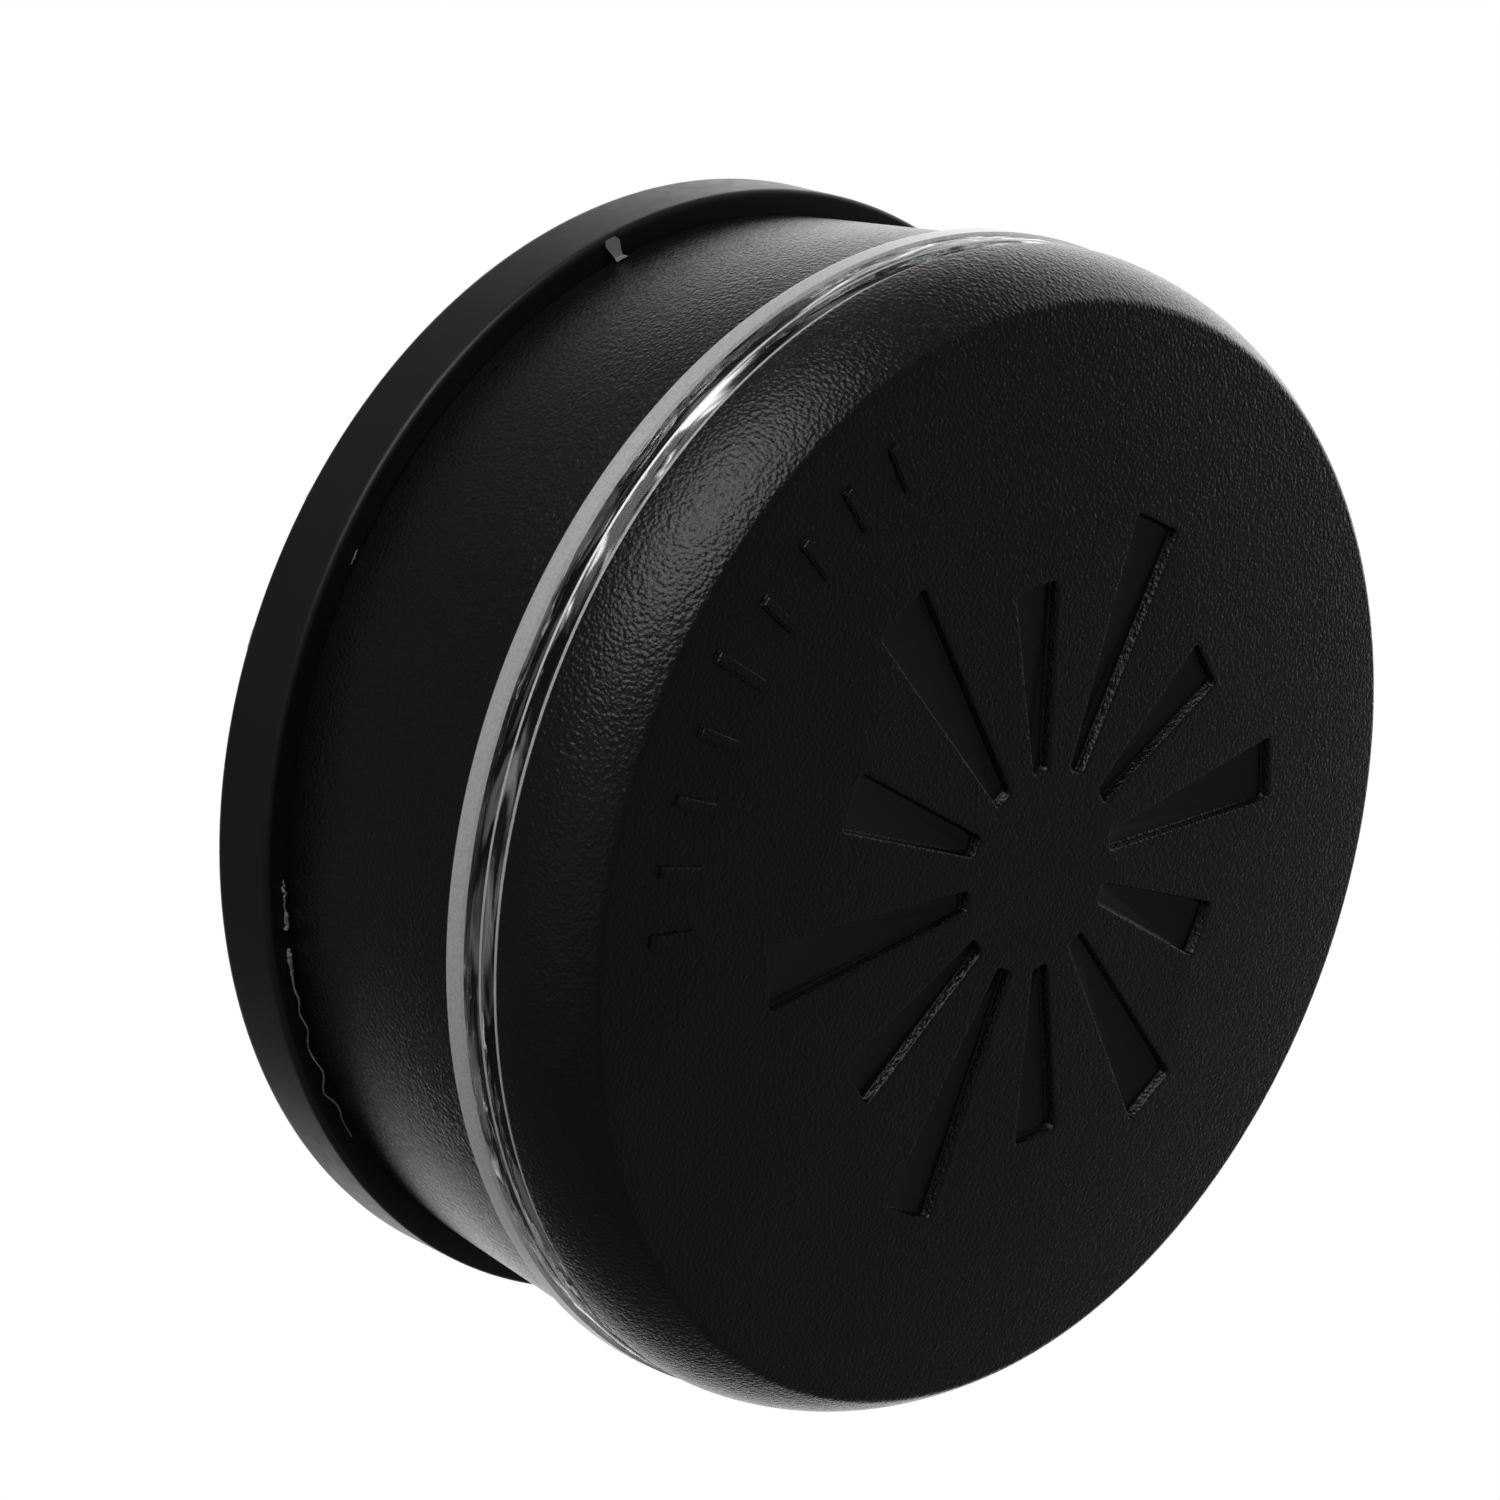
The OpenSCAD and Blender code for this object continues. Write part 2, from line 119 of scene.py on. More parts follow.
# White sweep, evenly bright up to the lamp's edge. Only the camera and clear pieces see its glow; it stays
# out of reflections and soft light. It is clear from underneath, which leaves the lamp's back open to view.
sweep = bpy.data.materials.new("white_sweep")
sweep.use_nodes = True
sweep.node_tree.nodes.clear()
glow = add(sweep.node_tree, "ShaderNodeEmission", inputs={"Color": (1, 1, 1, 1), "Strength": 1.0}).outputs[0]
clear = add(sweep.node_tree, "ShaderNodeBsdfTransparent").outputs[0]
underneath = add(sweep.node_tree, "ShaderNodeNewGeometry").outputs["Backfacing"]
sides = add(sweep.node_tree, "ShaderNodeMixShader", {0: underneath, 1: glow, 2: clear}).outputs[0]
add(sweep.node_tree, "ShaderNodeOutputMaterial", {"Surface": sides})
floor_mesh.materials.append(sweep)

# Studio of soft panels: azimuth and elevation from the lamp, angular size and softness, all in degrees, and
# brightness
PANELS = [
    (180, -42, 20, 30, 1.3),
    (-112, -48, 12, 28, 0.12),
    (-142, -8, 12, 24, 1.0),
    (-38, 4, 8, 24, 2.7),
    (178, 34, 12, 24, 0.03),
    (20, 10, 8, 22, 0.1),
    (-128, -46, 8, 20, 0.4),
]
ROOM_BRIGHTNESS = 0.085
world = bpy.data.worlds.new("studio")
bpy.context.scene.world = world
world.use_nodes = True
world.node_tree.nodes.clear()
sky = world.node_tree
way = add(sky, "ShaderNodeTexCoord").outputs["Generated"]
total = add(sky, "ShaderNodeValue").outputs[0]
total.default_value = ROOM_BRIGHTNESS
for azimuth, elevation, size, softness, brightness in PANELS:
    middle = direction(azimuth, elevation)
    near = add(sky, "ShaderNodeVectorMath", {0: way}, {1: middle}, operation="DOT_PRODUCT")
    falloff = {
        "From Min": math.cos(math.radians(size + softness)),
        "From Max": math.cos(math.radians(size)),
        "To Max": brightness,
    }
    lit = add(
        sky, "ShaderNodeMapRange", {"Value": near.outputs["Value"]}, falloff, interpolation_type="SMOOTHSTEP"
    )
    total = add(sky, "ShaderNodeMath", {0: total, 1: lit.outputs[0]}, operation="ADD").outputs[0]
# Behind the floor's far edge the backdrop goes on, plain white
backdrop = add(sky, "ShaderNodeLightPath").outputs["Is Camera Ray"]
total = add(sky, "ShaderNodeMath", {0: total, 1: backdrop}, operation="MAXIMUM").outputs[0]
background = add(sky, "ShaderNodeBackground", {"Strength": total}, {"Color": (1, 1, 1, 1)})
add(sky, "ShaderNodeOutputWorld", {"Surface": background.outputs[0]})


# ---- Base gasket -------------------------------------------------------------------------------------------
# Flat ring die-cut from closed-cell foam and stuck under the base. Where the panel has pressed it, its edge
# swells out a little past the base.
SEGMENTS = 256
HOLD = 0.2
GASKET_T = 0.8
GASKET_IN_R = 30.6
SWELLINGS = ((-100, 3.5), (-85, 3.5))
SWELLING = 0.45


def outline(corners, steps=5):
    """Closed outline from (radius, height, fillet) corners. A holding point lies on each side of a fillet."""
    points = []
    for i, (r, z, fillet) in enumerate(corners):
        here = Vector((r, z))
        if not fillet:
            points.append(here)
            continue
        back = (Vector(corners[i - 1][:2]) - here).normalized()
        ahead = (Vector(corners[(i + 1) % len(corners)][:2]) - here).normalized()
        half_angle = back.angle(ahead) / 2
        run = fillet / math.tan(half_angle)
        centre = here + (back + ahead).normalized() * fillet / math.sin(half_angle)
        start = here + back * run - centre
        turn = start.angle_signed(here + ahead * run - centre)
        points.append(here + back * (run + HOLD))
        points += [centre + Matrix.Rotation(-turn * k / steps, 2) @ start for k in range(steps + 1)]
        points.append(here + ahead * (run + HOLD))
    return points


def circle(bm, radius, z, count=SEGMENTS, centre=(0, 0)):
    """Ring of vertices. The whole mesh is made in millimetres and scaled when it is finished."""
    turns = [2 * math.pi * k / count for k in range(count)]
    x, y = centre
    return [bm.verts.new((x + radius * math.cos(a), y + radius * math.sin(a), z)) for a in turns]


def bridge(bm, loops, material=0):
    """Faces between loops of equal length, one after another."""
    for upper, lower in zip(loops, loops[1:]):
        for k in range(len(upper)):
            j = (k + 1) % len(upper)
            bm.faces.new((upper[k], upper[j], lower[j], lower[k])).material_index = material


def finished(bm, name, materials, sharp=32):
    """Object from a closed mesh in millimetres, facing outwards, smooth except along its sharp edges."""
    bmesh.ops.remove_doubles(bm, verts=bm.verts, dist=1e-4)
    bmesh.ops.dissolve_degenerate(bm, edges=bm.edges, dist=1e-4)
    bmesh.ops.recalc_face_normals(bm, faces=bm.faces)
    bmesh.ops.scale(bm, vec=(MM, MM, MM), verts=bm.verts)
    mesh = bpy.data.meshes.new(name)
    bm.to_mesh(mesh)
    bm.free()
    mesh.shade_smooth()
    mesh.set_sharp_from_angle(angle=math.radians(sharp))
    for material in materials:
        mesh.materials.append(material)
    return put(mesh, name)


def turned(name, points, material, segments=SEGMENTS):
    """Closed solid of revolution about the lamp's axis from a closed outline."""
    bm = bmesh.new()
    loops = [circle(bm, max(r, 0), z, segments) for r, z in points]
    bridge(bm, [*loops, loops[0]])
    return finished(bm, name, [material])


def finish(name, colour, roughness, grain, depth=0.0, tone=0.15, metallic=0.0, ior=1.5):
    """Material with a grain of a size and depth in millimetres, which varies its gloss, and clouds of tone.

    Where the real grain is finer than the size given, it is drawn that coarse so that it shows.
    """
    material = bpy.data.materials.new(name)
    material.use_nodes = True
    tree = material.node_tree
    shader = tree.nodes["Principled BSDF"]
    shader.inputs["Metallic"].default_value = metallic
    if not metallic:
        shader.inputs["IOR"].default_value = ior
    place = add(tree, "ShaderNodeTexCoord").outputs["Object"]
    cells = add(tree, "ShaderNodeTexNoise", {"Vector": place}, {"Scale": 1 / (grain * MM), "Detail": 3.0})
    cells = cells.outputs["Fac"]
    clouds = add(tree, "ShaderNodeTexNoise", {"Vector": place}, {"Scale": 1 / (9 * MM), "Detail": 4.0})
    ramp = add(tree, "ShaderNodeValToRGB", {"Fac": clouds.outputs["Fac"]})
    full = linear(colour)
    for stop, place_on_ramp, factor in ((0, 0.3, 1 - tone), (1, 0.7, 1 + tone)):
        ramp.color_ramp.elements[stop].position = place_on_ramp
        ramp.color_ramp.elements[stop].color = (*[min(1, c * factor) for c in full[:3]], 1)
    gloss = add(
        tree,
        "ShaderNodeMapRange",
        {"Value": cells},
        {"To Min": max(0.03, roughness - 0.08), "To Max": roughness + 0.08},
    )
    tree.links.new(ramp.outputs["Color"], shader.inputs["Base Color"])
    tree.links.new(gloss.outputs[0], shader.inputs["Roughness"])
    if depth:
        relief = add(tree, "ShaderNodeBump", {"Height": cells}, {"Strength": 1.0, "Distance": depth * MM})
        tree.links.new(relief.outputs[0], shader.inputs["Normal"])
    return material


# Closed-cell polyethylene foam: pale and matt, with cut cells along its edge
foam = finish("closed_cell_foam", "#d9d7cf", 0.85, 0.25, 0.06)
gasket_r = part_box("base_gasket")[1].x / MM
gasket_edge_r = gasket_r - 0.8
gasket = turned(
    "base_gasket_foam",
    outline(
        [
            (GASKET_IN_R, 0, 0),
            (gasket_edge_r, 0, 0.1),
            (gasket_edge_r, GASKET_T, 0),
            (GASKET_IN_R, GASKET_T, 0),
        ]
    ),
    foam,
)
for vertex in gasket.data.vertices:
    if vertex.co.xy.length > (gasket_edge_r - 1) * MM:
        here = math.degrees(math.atan2(vertex.co.y, vertex.co.x))
        swell = max(math.exp(-(((here - middle) / width) ** 2)) for middle, width in SWELLINGS)
        vertex.co.xy += vertex.co.xy.normalized() * swell * SWELLING * MM
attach(gasket, "root")
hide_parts("base_gasket")


# ---- Mounting base -----------------------------------------------------------------------------------------
# Flat disc, injection moulded in black ASA and left smooth. Its back takes the panel inserts, the case
# screws, the cable gland and the vent. The housing sits on its front, inside a narrow flange.
BASE_EDGE = 0.5
FLANGE_EDGE = 0.35
FLANGE_IN_R = 32.5
HEAD_DEPTH = 1.7
WEB_RINGS = [(24, 64), (12, 32)]
INSERT_R, INSERT_CIRCLE_R, INSERT_ANGLES = 2.8, 20.0, (90, 210, 330)
SCREW_R, SCREW_SHANK_R, SCREW_CIRCLE_R, SCREW_ANGLES = 2.95, 1.6, 27.2, (30, 150, 270)
GLAND_FLANGE_R, GLAND_FLANGE_H, GLAND_NECK_R = 8.0, 1.0, 6.0
VENT_HEAD_R, VENT_HEAD_H, VENT_BODY_R, VENT_CIRCLE_R = 3.6, 1.2, 2.4, 14.0
base_low, base_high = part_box("mounting_base")
base_r = base_high.x / MM
z_base = base_low.z / MM
z_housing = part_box("housing")[0].z / MM


def inside(point, loop):
    """Whether a point lies in a closed loop of points."""
    odd = False
    for i, a in enumerate(loop):
        b = loop[i - 1]
        if (a.y > point.y) != (b.y > point.y) and point.x < (b.x - a.x) * (point.y - a.y) / (b.y - a.y) + a.x:
            odd = not odd
    return odd


def pierced(bm, edge, holes, height, rings=()):
    """Sheet of triangles between an edge loop and the loops of its holes, over rings of extra points."""
    sheet = [*edge, *[v for loop in holes for v in loop]]
    number = {v: i for i, v in enumerate(sheet)}
    constraints = [(number[v], number[loop[k - 1]]) for loop in (edge, *holes) for k, v in enumerate(loop)]
    gaps = [[v.co.xy for v in loop] for loop in holes]
    for radius, count in rings:
        for k in range(count):
            a = 2 * math.pi * (k + 0.5) / count
            spot = Vector((radius * math.cos(a), radius * math.sin(a)))
            if not any(inside(spot, gap) for gap in gaps):
                sheet.append(bm.verts.new((*spot, height(radius))))
    filled = geometry.delaunay_2d_cdt([v.co.xy for v in sheet], constraints, [], 0, 1e-6)
    for triangle in filled[2]:
        middle = sum((filled[0][i] for i in triangle), Vector((0, 0))) / 3
        if not any(inside(middle, gap) for gap in gaps):
            bm.faces.new([sheet[filled[3][i][0]] for i in triangle])


def spot(radius, angle):
    """Point at a radius and angle around the axis."""
    a = math.radians(angle)
    return radius * math.cos(a), radius * math.sin(a)


# Smooth moulded ASA: a soft, slightly greasy gloss with faint flow marks
smooth_asa = finish("smooth_black_asa", "#1c1c1d", 0.4, 0.9, 0.004)
bm = bmesh.new()
hole_steps = []
for angle in INSERT_ANGLES:
    hole_steps.append((spot(INSERT_CIRCLE_R, angle), 48, [(INSERT_R, z_base), (INSERT_R, z_housing)]))
for angle in SCREW_ANGLES:
    countersink = [(SCREW_R, z_base), (SCREW_SHANK_R, z_base + HEAD_DEPTH), (SCREW_SHANK_R, z_housing)]
    hole_steps.append((spot(SCREW_CIRCLE_R, angle), 48, countersink))
for centre, head_r, head_h, body_r in (
    ((0, 0), GLAND_FLANGE_R, GLAND_FLANGE_H, GLAND_NECK_R),
    ((-VENT_CIRCLE_R, 0), VENT_HEAD_R, VENT_HEAD_H, VENT_BODY_R),
):
    steps = [(head_r, z_base), (head_r, z_base + head_h), (body_r, z_base + head_h), (body_r, z_housing)]
    hole_steps.append((centre, 64, steps))
mouths, ends = [], []
for centre, count, steps in hole_steps:
    loops = [circle(bm, r, z, count, centre) for r, z in steps]
    bridge(bm, loops)
    mouths.append(loops[0])
    ends.append(loops[-1])
rim = outline(
    [
        (FLANGE_IN_R, z_base, 0),
        (base_r, z_base, BASE_EDGE),
        (base_r, z_housing, FLANGE_EDGE),
        (FLANGE_IN_R, z_housing, 0),
    ]
)
rim_loops = [circle(bm, r, z) for r, z in rim]
bridge(bm, rim_loops)
pierced(bm, rim_loops[0], mouths, lambda r: z_base, WEB_RINGS)
pierced(bm, rim_loops[-1], ends, lambda r: z_housing, WEB_RINGS)
base = finished(bm, "mounting_base_moulding", [smooth_asa])
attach(base, "root")
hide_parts("mounting_base")


# ---- Threaded inserts --------------------------------------------------------------------------------------
# Three M4 brass inserts, turned and pressed hot into the base. The panel screws go into them from behind.
INSERT_BORE_R = 1.65
INSERT_L = 5.6
THREAD_PITCH = 0.7
THREAD_DEPTH = 0.3

# Tree that repeats a part around the axis: it is laid out once, and each group of like pieces sets its inputs
around_axis = bpy.data.node_groups.new("around_axis", "GeometryNodeTree")
for label, kind in (
    ("Part", "NodeSocketGeometry"),
    ("Count", "NodeSocketInt"),
    ("Radius", "NodeSocketFloat"),
    ("First angle", "NodeSocketFloat"),
    ("Spacing", "NodeSocketFloat"),
    ("Material", "NodeSocketMaterial"),
):
    around_axis.interface.new_socket(label, in_out="INPUT", socket_type=kind)
around_axis.interface.new_socket("Parts", in_out="OUTPUT", socket_type="NodeSocketGeometry")
given = add(around_axis, "NodeGroupInput").outputs
index = add(around_axis, "GeometryNodeInputIndex").outputs[0]
angle = add(
    around_axis,
    "ShaderNodeMath",
    {0: index, 1: given["Spacing"], 2: given["First angle"]},
    operation="MULTIPLY_ADD",
).outputs[0]
east = add(around_axis, "ShaderNodeMath", {0: angle}, operation="COSINE").outputs[0]
north = add(around_axis, "ShaderNodeMath", {0: angle}, operation="SINE").outputs[0]
unit = add(around_axis, "ShaderNodeCombineXYZ", {"X": east, "Y": north}).outputs[0]
place = add(
    around_axis, "ShaderNodeVectorMath", {0: unit, "Scale": given["Radius"]}, operation="SCALE"
).outputs[0]
places = add(around_axis, "GeometryNodePoints", {"Count": given["Count"], "Position": place}).outputs[0]
facing = add(around_axis, "ShaderNodeCombineXYZ", {"Z": angle}).outputs[0]
copies = add(
    around_axis,
    "GeometryNodeInstanceOnPoints",
    {"Points": places, "Instance": given["Part"], "Rotation": facing},
).outputs[0]
real = add(around_axis, "GeometryNodeRealizeInstances", {"Geometry": copies}).outputs[0]
painted = add(
    around_axis, "GeometryNodeSetMaterial", {"Geometry": real, "Material": given["Material"]}
).outputs[0]
add(around_axis, "NodeGroupOutput", {"Parts": painted})


def grown_by_nodes(carrier, tree, values):
    """Replaces an object's mesh with what a Geometry Nodes tree makes of it for the named input values."""
    modifier = carrier.modifiers.new("nodes", "NODES")
    modifier.node_group = tree
    for item in tree.interface.items_tree:
        if item.in_out == "INPUT" and item.name in values:
            modifier[item.identifier] = values[item.name]
    made = carrier.evaluated_get(bpy.context.evaluated_depsgraph_get())
    mesh = bpy.data.meshes.new_from_object(made)
    carrier.modifiers.clear()
    carrier.data = mesh
    return carrier


def repeated(part, radius, angles):
    """The part at each of the evenly spaced angles, in degrees."""
    spacing = angles[1] - angles[0] if len(angles) > 1 else 0
    values = {
        "Count": len(angles),
        "Radius": radius * MM,
        "First angle": math.radians(angles[0]),
        "Spacing": math.radians(spacing),
        "Material": part.data.materials[0],
    }
    return grown_by_nodes(part, around_axis, values)


# Free-cutting brass, turned: bright, with a fine roughness from the tool
brass = finish("turned_brass", "#c7a24f", 0.28, 0.15, 0.01, metallic=1.0)
thread = []
for turn in range(int((INSERT_L - 0.8) / THREAD_PITCH)):
    z = z_base + 0.5 + turn * THREAD_PITCH
    thread += [(INSERT_BORE_R, z, 0), (INSERT_BORE_R + THREAD_DEPTH, z + THREAD_PITCH / 2, 0)]
insert_end = z_base + INSERT_L
inserts = turned(
    "threaded_inserts_turned",
    outline(
        [
            (0, insert_end - 0.4, 0),
            *reversed(thread),
            (INSERT_BORE_R + 0.3, z_base + 0.02, 0),
            (INSERT_R - 0.02, z_base + 0.02, 0.08),
            (INSERT_R - 0.02, insert_end, 0),
            (0, insert_end, 0),
        ]
    ),
    brass,
    48,
)
repeated(inserts, INSERT_CIRCLE_R, INSERT_ANGLES)
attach(inserts, "root")
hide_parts("threaded_inserts")


# ---- Case screws -------------------------------------------------------------------------------------------
# Three countersunk A4 screws with cross recesses. They pull the base against the housing from behind.
CROSS_REACH, CROSS_HALF_W, CROSS_DEPTH = 1.55, 0.34, 1.1
SCREW_HEAD_R = 2.85
CASE_SCREW_L = 13.0
# Cold-formed stainless steel: a grey shine, dulled a little by tumbling
stainless = finish("tumbled_stainless_steel", "#b8babc", 0.32, 0.2, 0.006, metallic=1.0)


def cross(bm, reach, half_w, z):
    """Loop of the twelve corners of a cross."""
    arm = [(reach, -half_w), (reach, half_w), (half_w, half_w)]
    turns = [Matrix.Rotation(math.radians(90 * k), 2) for k in range(4)]
    return [bm.verts.new((*(turn @ Vector(p)), z)) for turn in turns for p in arm]


bm = bmesh.new()
slot_loops = [
    cross(bm, CROSS_REACH, CROSS_HALF_W, z_base + 0.05),
    cross(bm, CROSS_REACH - 0.1, CROSS_HALF_W - 0.04, z_base + 0.3),
    cross(bm, CROSS_REACH * 0.45, CROSS_HALF_W * 0.6, z_base + CROSS_DEPTH),
]
bridge(bm, slot_loops)
bm.faces.new(slot_loops[-1])
head = [
    (SCREW_HEAD_R - 0.12, z_base + 0.05),
    (SCREW_HEAD_R, z_base + 0.12),
    (SCREW_SHANK_R - 0.1, z_base + HEAD_DEPTH - 0.05),
    (SCREW_SHANK_R - 0.1, z_base + CASE_SCREW_L),
]
head_loops = [circle(bm, r, z, 48) for r, z in head]
bridge(bm, head_loops)
bm.faces.new(head_loops[-1])
pierced(bm, head_loops[0], [slot_loops[0]], lambda r: z_base + 0.05)
case_screws = finished(bm, "case_screws_formed", [stainless])
repeated(case_screws, SCREW_CIRCLE_R, SCREW_ANGLES)
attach(case_screws, "root")
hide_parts("base_screws")


# ---- Cable gland -------------------------------------------------------------------------------------------
# Rubber grommet snapped into the middle of the base; its lip grips the supply cable.
GLAND_BORE_R = 2.6
gland_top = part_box("cable_gland")[1].z / MM
# Moulded EPDM: dull black with a faint bloom
rubber = finish("black_epdm", "#191919", 0.7, 0.5, 0.01)
gland = turned(
    "cable_gland_rubber",
    outline(
        [
            (GLAND_BORE_R + 0.35, z_base + 0.02, 0.15),
            (GLAND_FLANGE_R - 0.05, z_base + 0.02, 0.25),
            (GLAND_FLANGE_R - 0.05, z_base + GLAND_FLANGE_H, 0),
            (GLAND_NECK_R - 0.02, z_base + GLAND_FLANGE_H, 0),
            (GLAND_NECK_R - 0.02, z_housing + 1.2, 0.3),
            (GLAND_BORE_R + 1.2, gland_top, 0.3),
            (GLAND_BORE_R, gland_top, 0.2),
            (GLAND_BORE_R, z_base + 1.2, 0.2),
            (GLAND_BORE_R + 0.6, z_base + 0.9, 0.1),
        ]
    ),
    rubber,
    96,
)
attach(gland, "root")
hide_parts("cable_gland")


# ---- Vent plug ---------------------------------------------------------------------------------------------
# Breather that lets the sealed lamp even out its pressure: a pale nylon button with six fine holes.
VENT_HOLE_R, VENT_HOLE_CIRCLE_R, VENT_HOLES = 0.35, 1.4, 6
# Natural glass-filled nylon: off-white and matt
pale_nylon = finish("natural_nylon", "#d6d6d0", 0.55, 0.3, 0.01)
bm = bmesh.new()
breathers = []
for k in range(VENT_HOLES):
    centre = spot(VENT_HOLE_CIRCLE_R, 360 * k / VENT_HOLES)
    loops = [circle(bm, VENT_HOLE_R, z, 16, centre) for z in (z_base + 0.02, z_base + 2.5)]
    bridge(bm, loops)
    bm.faces.new(loops[1])
    breathers.append(loops[0])
button = [
    (VENT_HEAD_R - 0.3, z_base + 0.02),
    (VENT_HEAD_R - 0.1, z_base + 0.08),
    (VENT_HEAD_R - 0.04, z_base + 0.25),
    (VENT_HEAD_R - 0.04, z_base + VENT_HEAD_H),
    (VENT_BODY_R - 0.02, z_base + VENT_HEAD_H),
    (VENT_BODY_R - 0.02, z_housing),
]
button_loops = [circle(bm, r, z, 64) for r, z in button]
bridge(bm, button_loops)
bm.faces.new(button_loops[-1])
pierced(bm, button_loops[0], breathers, lambda r: z_base + 0.02)
vent = finished(bm, "vent_plug_button", [pale_nylon])
repeated(vent, VENT_CIRCLE_R, (180,))
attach(vent, "root")
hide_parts("vent_plug")


# ---- Housing -----------------------------------------------------------------------------------------------
# Side of the lamp, moulded in black ASA in a spark-eroded tool and drafted, so that it is narrower at its
# foot. Its outline is swept round the axis with Geometry Nodes.
HOUSING_DRAFT = 1.4
HOUSING_WALL = 2.5
HOUSING_FILLET = 0.22
z_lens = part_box("housing")[1].z / MM
housing_top_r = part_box("housing")[1].x / MM

swept_wall = bpy.data.node_groups.new("swept_wall", "GeometryNodeTree")
for label, kind in (
    ("Foot radius", "NodeSocketFloat"),
    ("Draft", "NodeSocketFloat"),
    ("Wall", "NodeSocketFloat"),
    ("Bottom", "NodeSocketFloat"),
    ("Top", "NodeSocketFloat"),
    ("Fillet", "NodeSocketFloat"),
    ("Segments", "NodeSocketInt"),
    ("Material", "NodeSocketMaterial"),
):
    swept_wall.interface.new_socket(label, in_out="INPUT", socket_type=kind)
swept_wall.interface.new_socket("Wall", in_out="OUTPUT", socket_type="NodeSocketGeometry")
given = add(swept_wall, "NodeGroupInput").outputs
inward = add(swept_wall, "ShaderNodeMath", {0: given["Wall"]}, {1: -1.0}, operation="MULTIPLY").outputs[0]
inner_top = add(swept_wall, "ShaderNodeMath", {0: given["Draft"], 1: inward}, operation="ADD").outputs[0]
# The profile lies with its X along the radius and its Y down the axis
low = add(swept_wall, "ShaderNodeMath", {0: given["Bottom"]}, {1: -1.0}, operation="MULTIPLY").outputs[0]
high = add(swept_wall, "ShaderNodeMath", {0: given["Top"]}, {1: -1.0}, operation="MULTIPLY").outputs[0]
outer_foot = add(swept_wall, "ShaderNodeCombineXYZ", {"Y": low}).outputs[0]
outer_edge = add(swept_wall, "ShaderNodeCombineXYZ", {"X": given["Draft"], "Y": high}).outputs[0]
inner_edge = add(swept_wall, "ShaderNodeCombineXYZ", {"X": inner_top, "Y": high}).outputs[0]
inner_foot = add(swept_wall, "ShaderNodeCombineXYZ", {"X": inward, "Y": low}).outputs[0]
profile = add(
    swept_wall,
    "GeometryNodeCurvePrimitiveQuadrilateral",
    {"Point 1": outer_foot, "Point 2": outer_edge, "Point 3": inner_edge, "Point 4": inner_foot},
    mode="POINTS",
).outputs[0]
eased = add(
    swept_wall,
    "GeometryNodeFilletCurve",
    {"Curve": profile, "Radius": given["Fillet"]},
    {"Count": 4, "Limit Radius": True},
    mode="POLY",
).outputs[0]
path = add(
    swept_wall,
    "GeometryNodeCurvePrimitiveCircle",
    {"Radius": given["Foot radius"], "Resolution": given["Segments"]},
).outputs[0]
upright = add(swept_wall, "GeometryNodeSetCurveNormal", {"Curve": path}, mode="Z_UP").outputs[0]
swept = add(swept_wall, "GeometryNodeCurveToMesh", {"Curve": upright, "Profile Curve": eased}).outputs[0]
real = add(swept_wall, "GeometryNodeRealizeInstances", {"Geometry": swept}).outputs[0]
painted = add(
    swept_wall, "GeometryNodeSetMaterial", {"Geometry": real, "Material": given["Material"]}
).outputs[0]
add(swept_wall, "NodeGroupOutput", {"Wall": painted})


def grained(name, colour, roughness, grain, depth):
    """Black ASA with a spark-eroded grain: small rounded lumps, a little uneven in size."""
    material = bpy.data.materials.new(name)
    material.use_nodes = True
    tree = material.node_tree
    shader = tree.nodes["Principled BSDF"]
    shader.inputs["IOR"].default_value = 1.5
    place = add(tree, "ShaderNodeTexCoord").outputs["Object"]
    lumps = add(
        tree,
        "ShaderNodeTexNoise",
        {"Vector": place},
        {"Scale": 1 / (grain * MM), "Detail": 2.0, "Roughness": 0.55, "Distortion": 0.4},
    ).outputs["Fac"]
    pores = add(
        tree,
        "ShaderNodeTexVoronoi",
        {"Vector": place},
        {"Scale": 1 / (grain * MM), "Smoothness": 0.6},
        feature="SMOOTH_F1",
    ).outputs["Distance"]
    height = add(tree, "ShaderNodeMath", {0: lumps, 1: pores}, operation="SUBTRACT").outputs[0]
    relief = add(tree, "ShaderNodeBump", {"Height": height}, {"Strength": 1.0, "Distance": depth * MM})
    clouds = add(tree, "ShaderNodeTexNoise", {"Vector": place}, {"Scale": 1 / (7 * MM), "Detail": 4.0})
    ramp = add(tree, "ShaderNodeValToRGB", {"Fac": clouds.outputs["Fac"]})
    full = linear(colour)
    for stop, place_on_ramp, factor in ((0, 0.3, 0.85), (1, 0.7, 1.15)):
        ramp.color_ramp.elements[stop].position = place_on_ramp
        ramp.color_ramp.elements[stop].color = (*[c * factor for c in full[:3]], 1)
    gloss = add(
        tree,
        "ShaderNodeMapRange",
        {"Value": lumps},
        {"To Min": roughness + 0.1, "To Max": roughness - 0.1},
    )
    tree.links.new(ramp.outputs["Color"], shader.inputs["Base Color"])
    tree.links.new(gloss.outputs[0], shader.inputs["Roughness"])
    tree.links.new(relief.outputs[0], shader.inputs["Normal"])
    return material


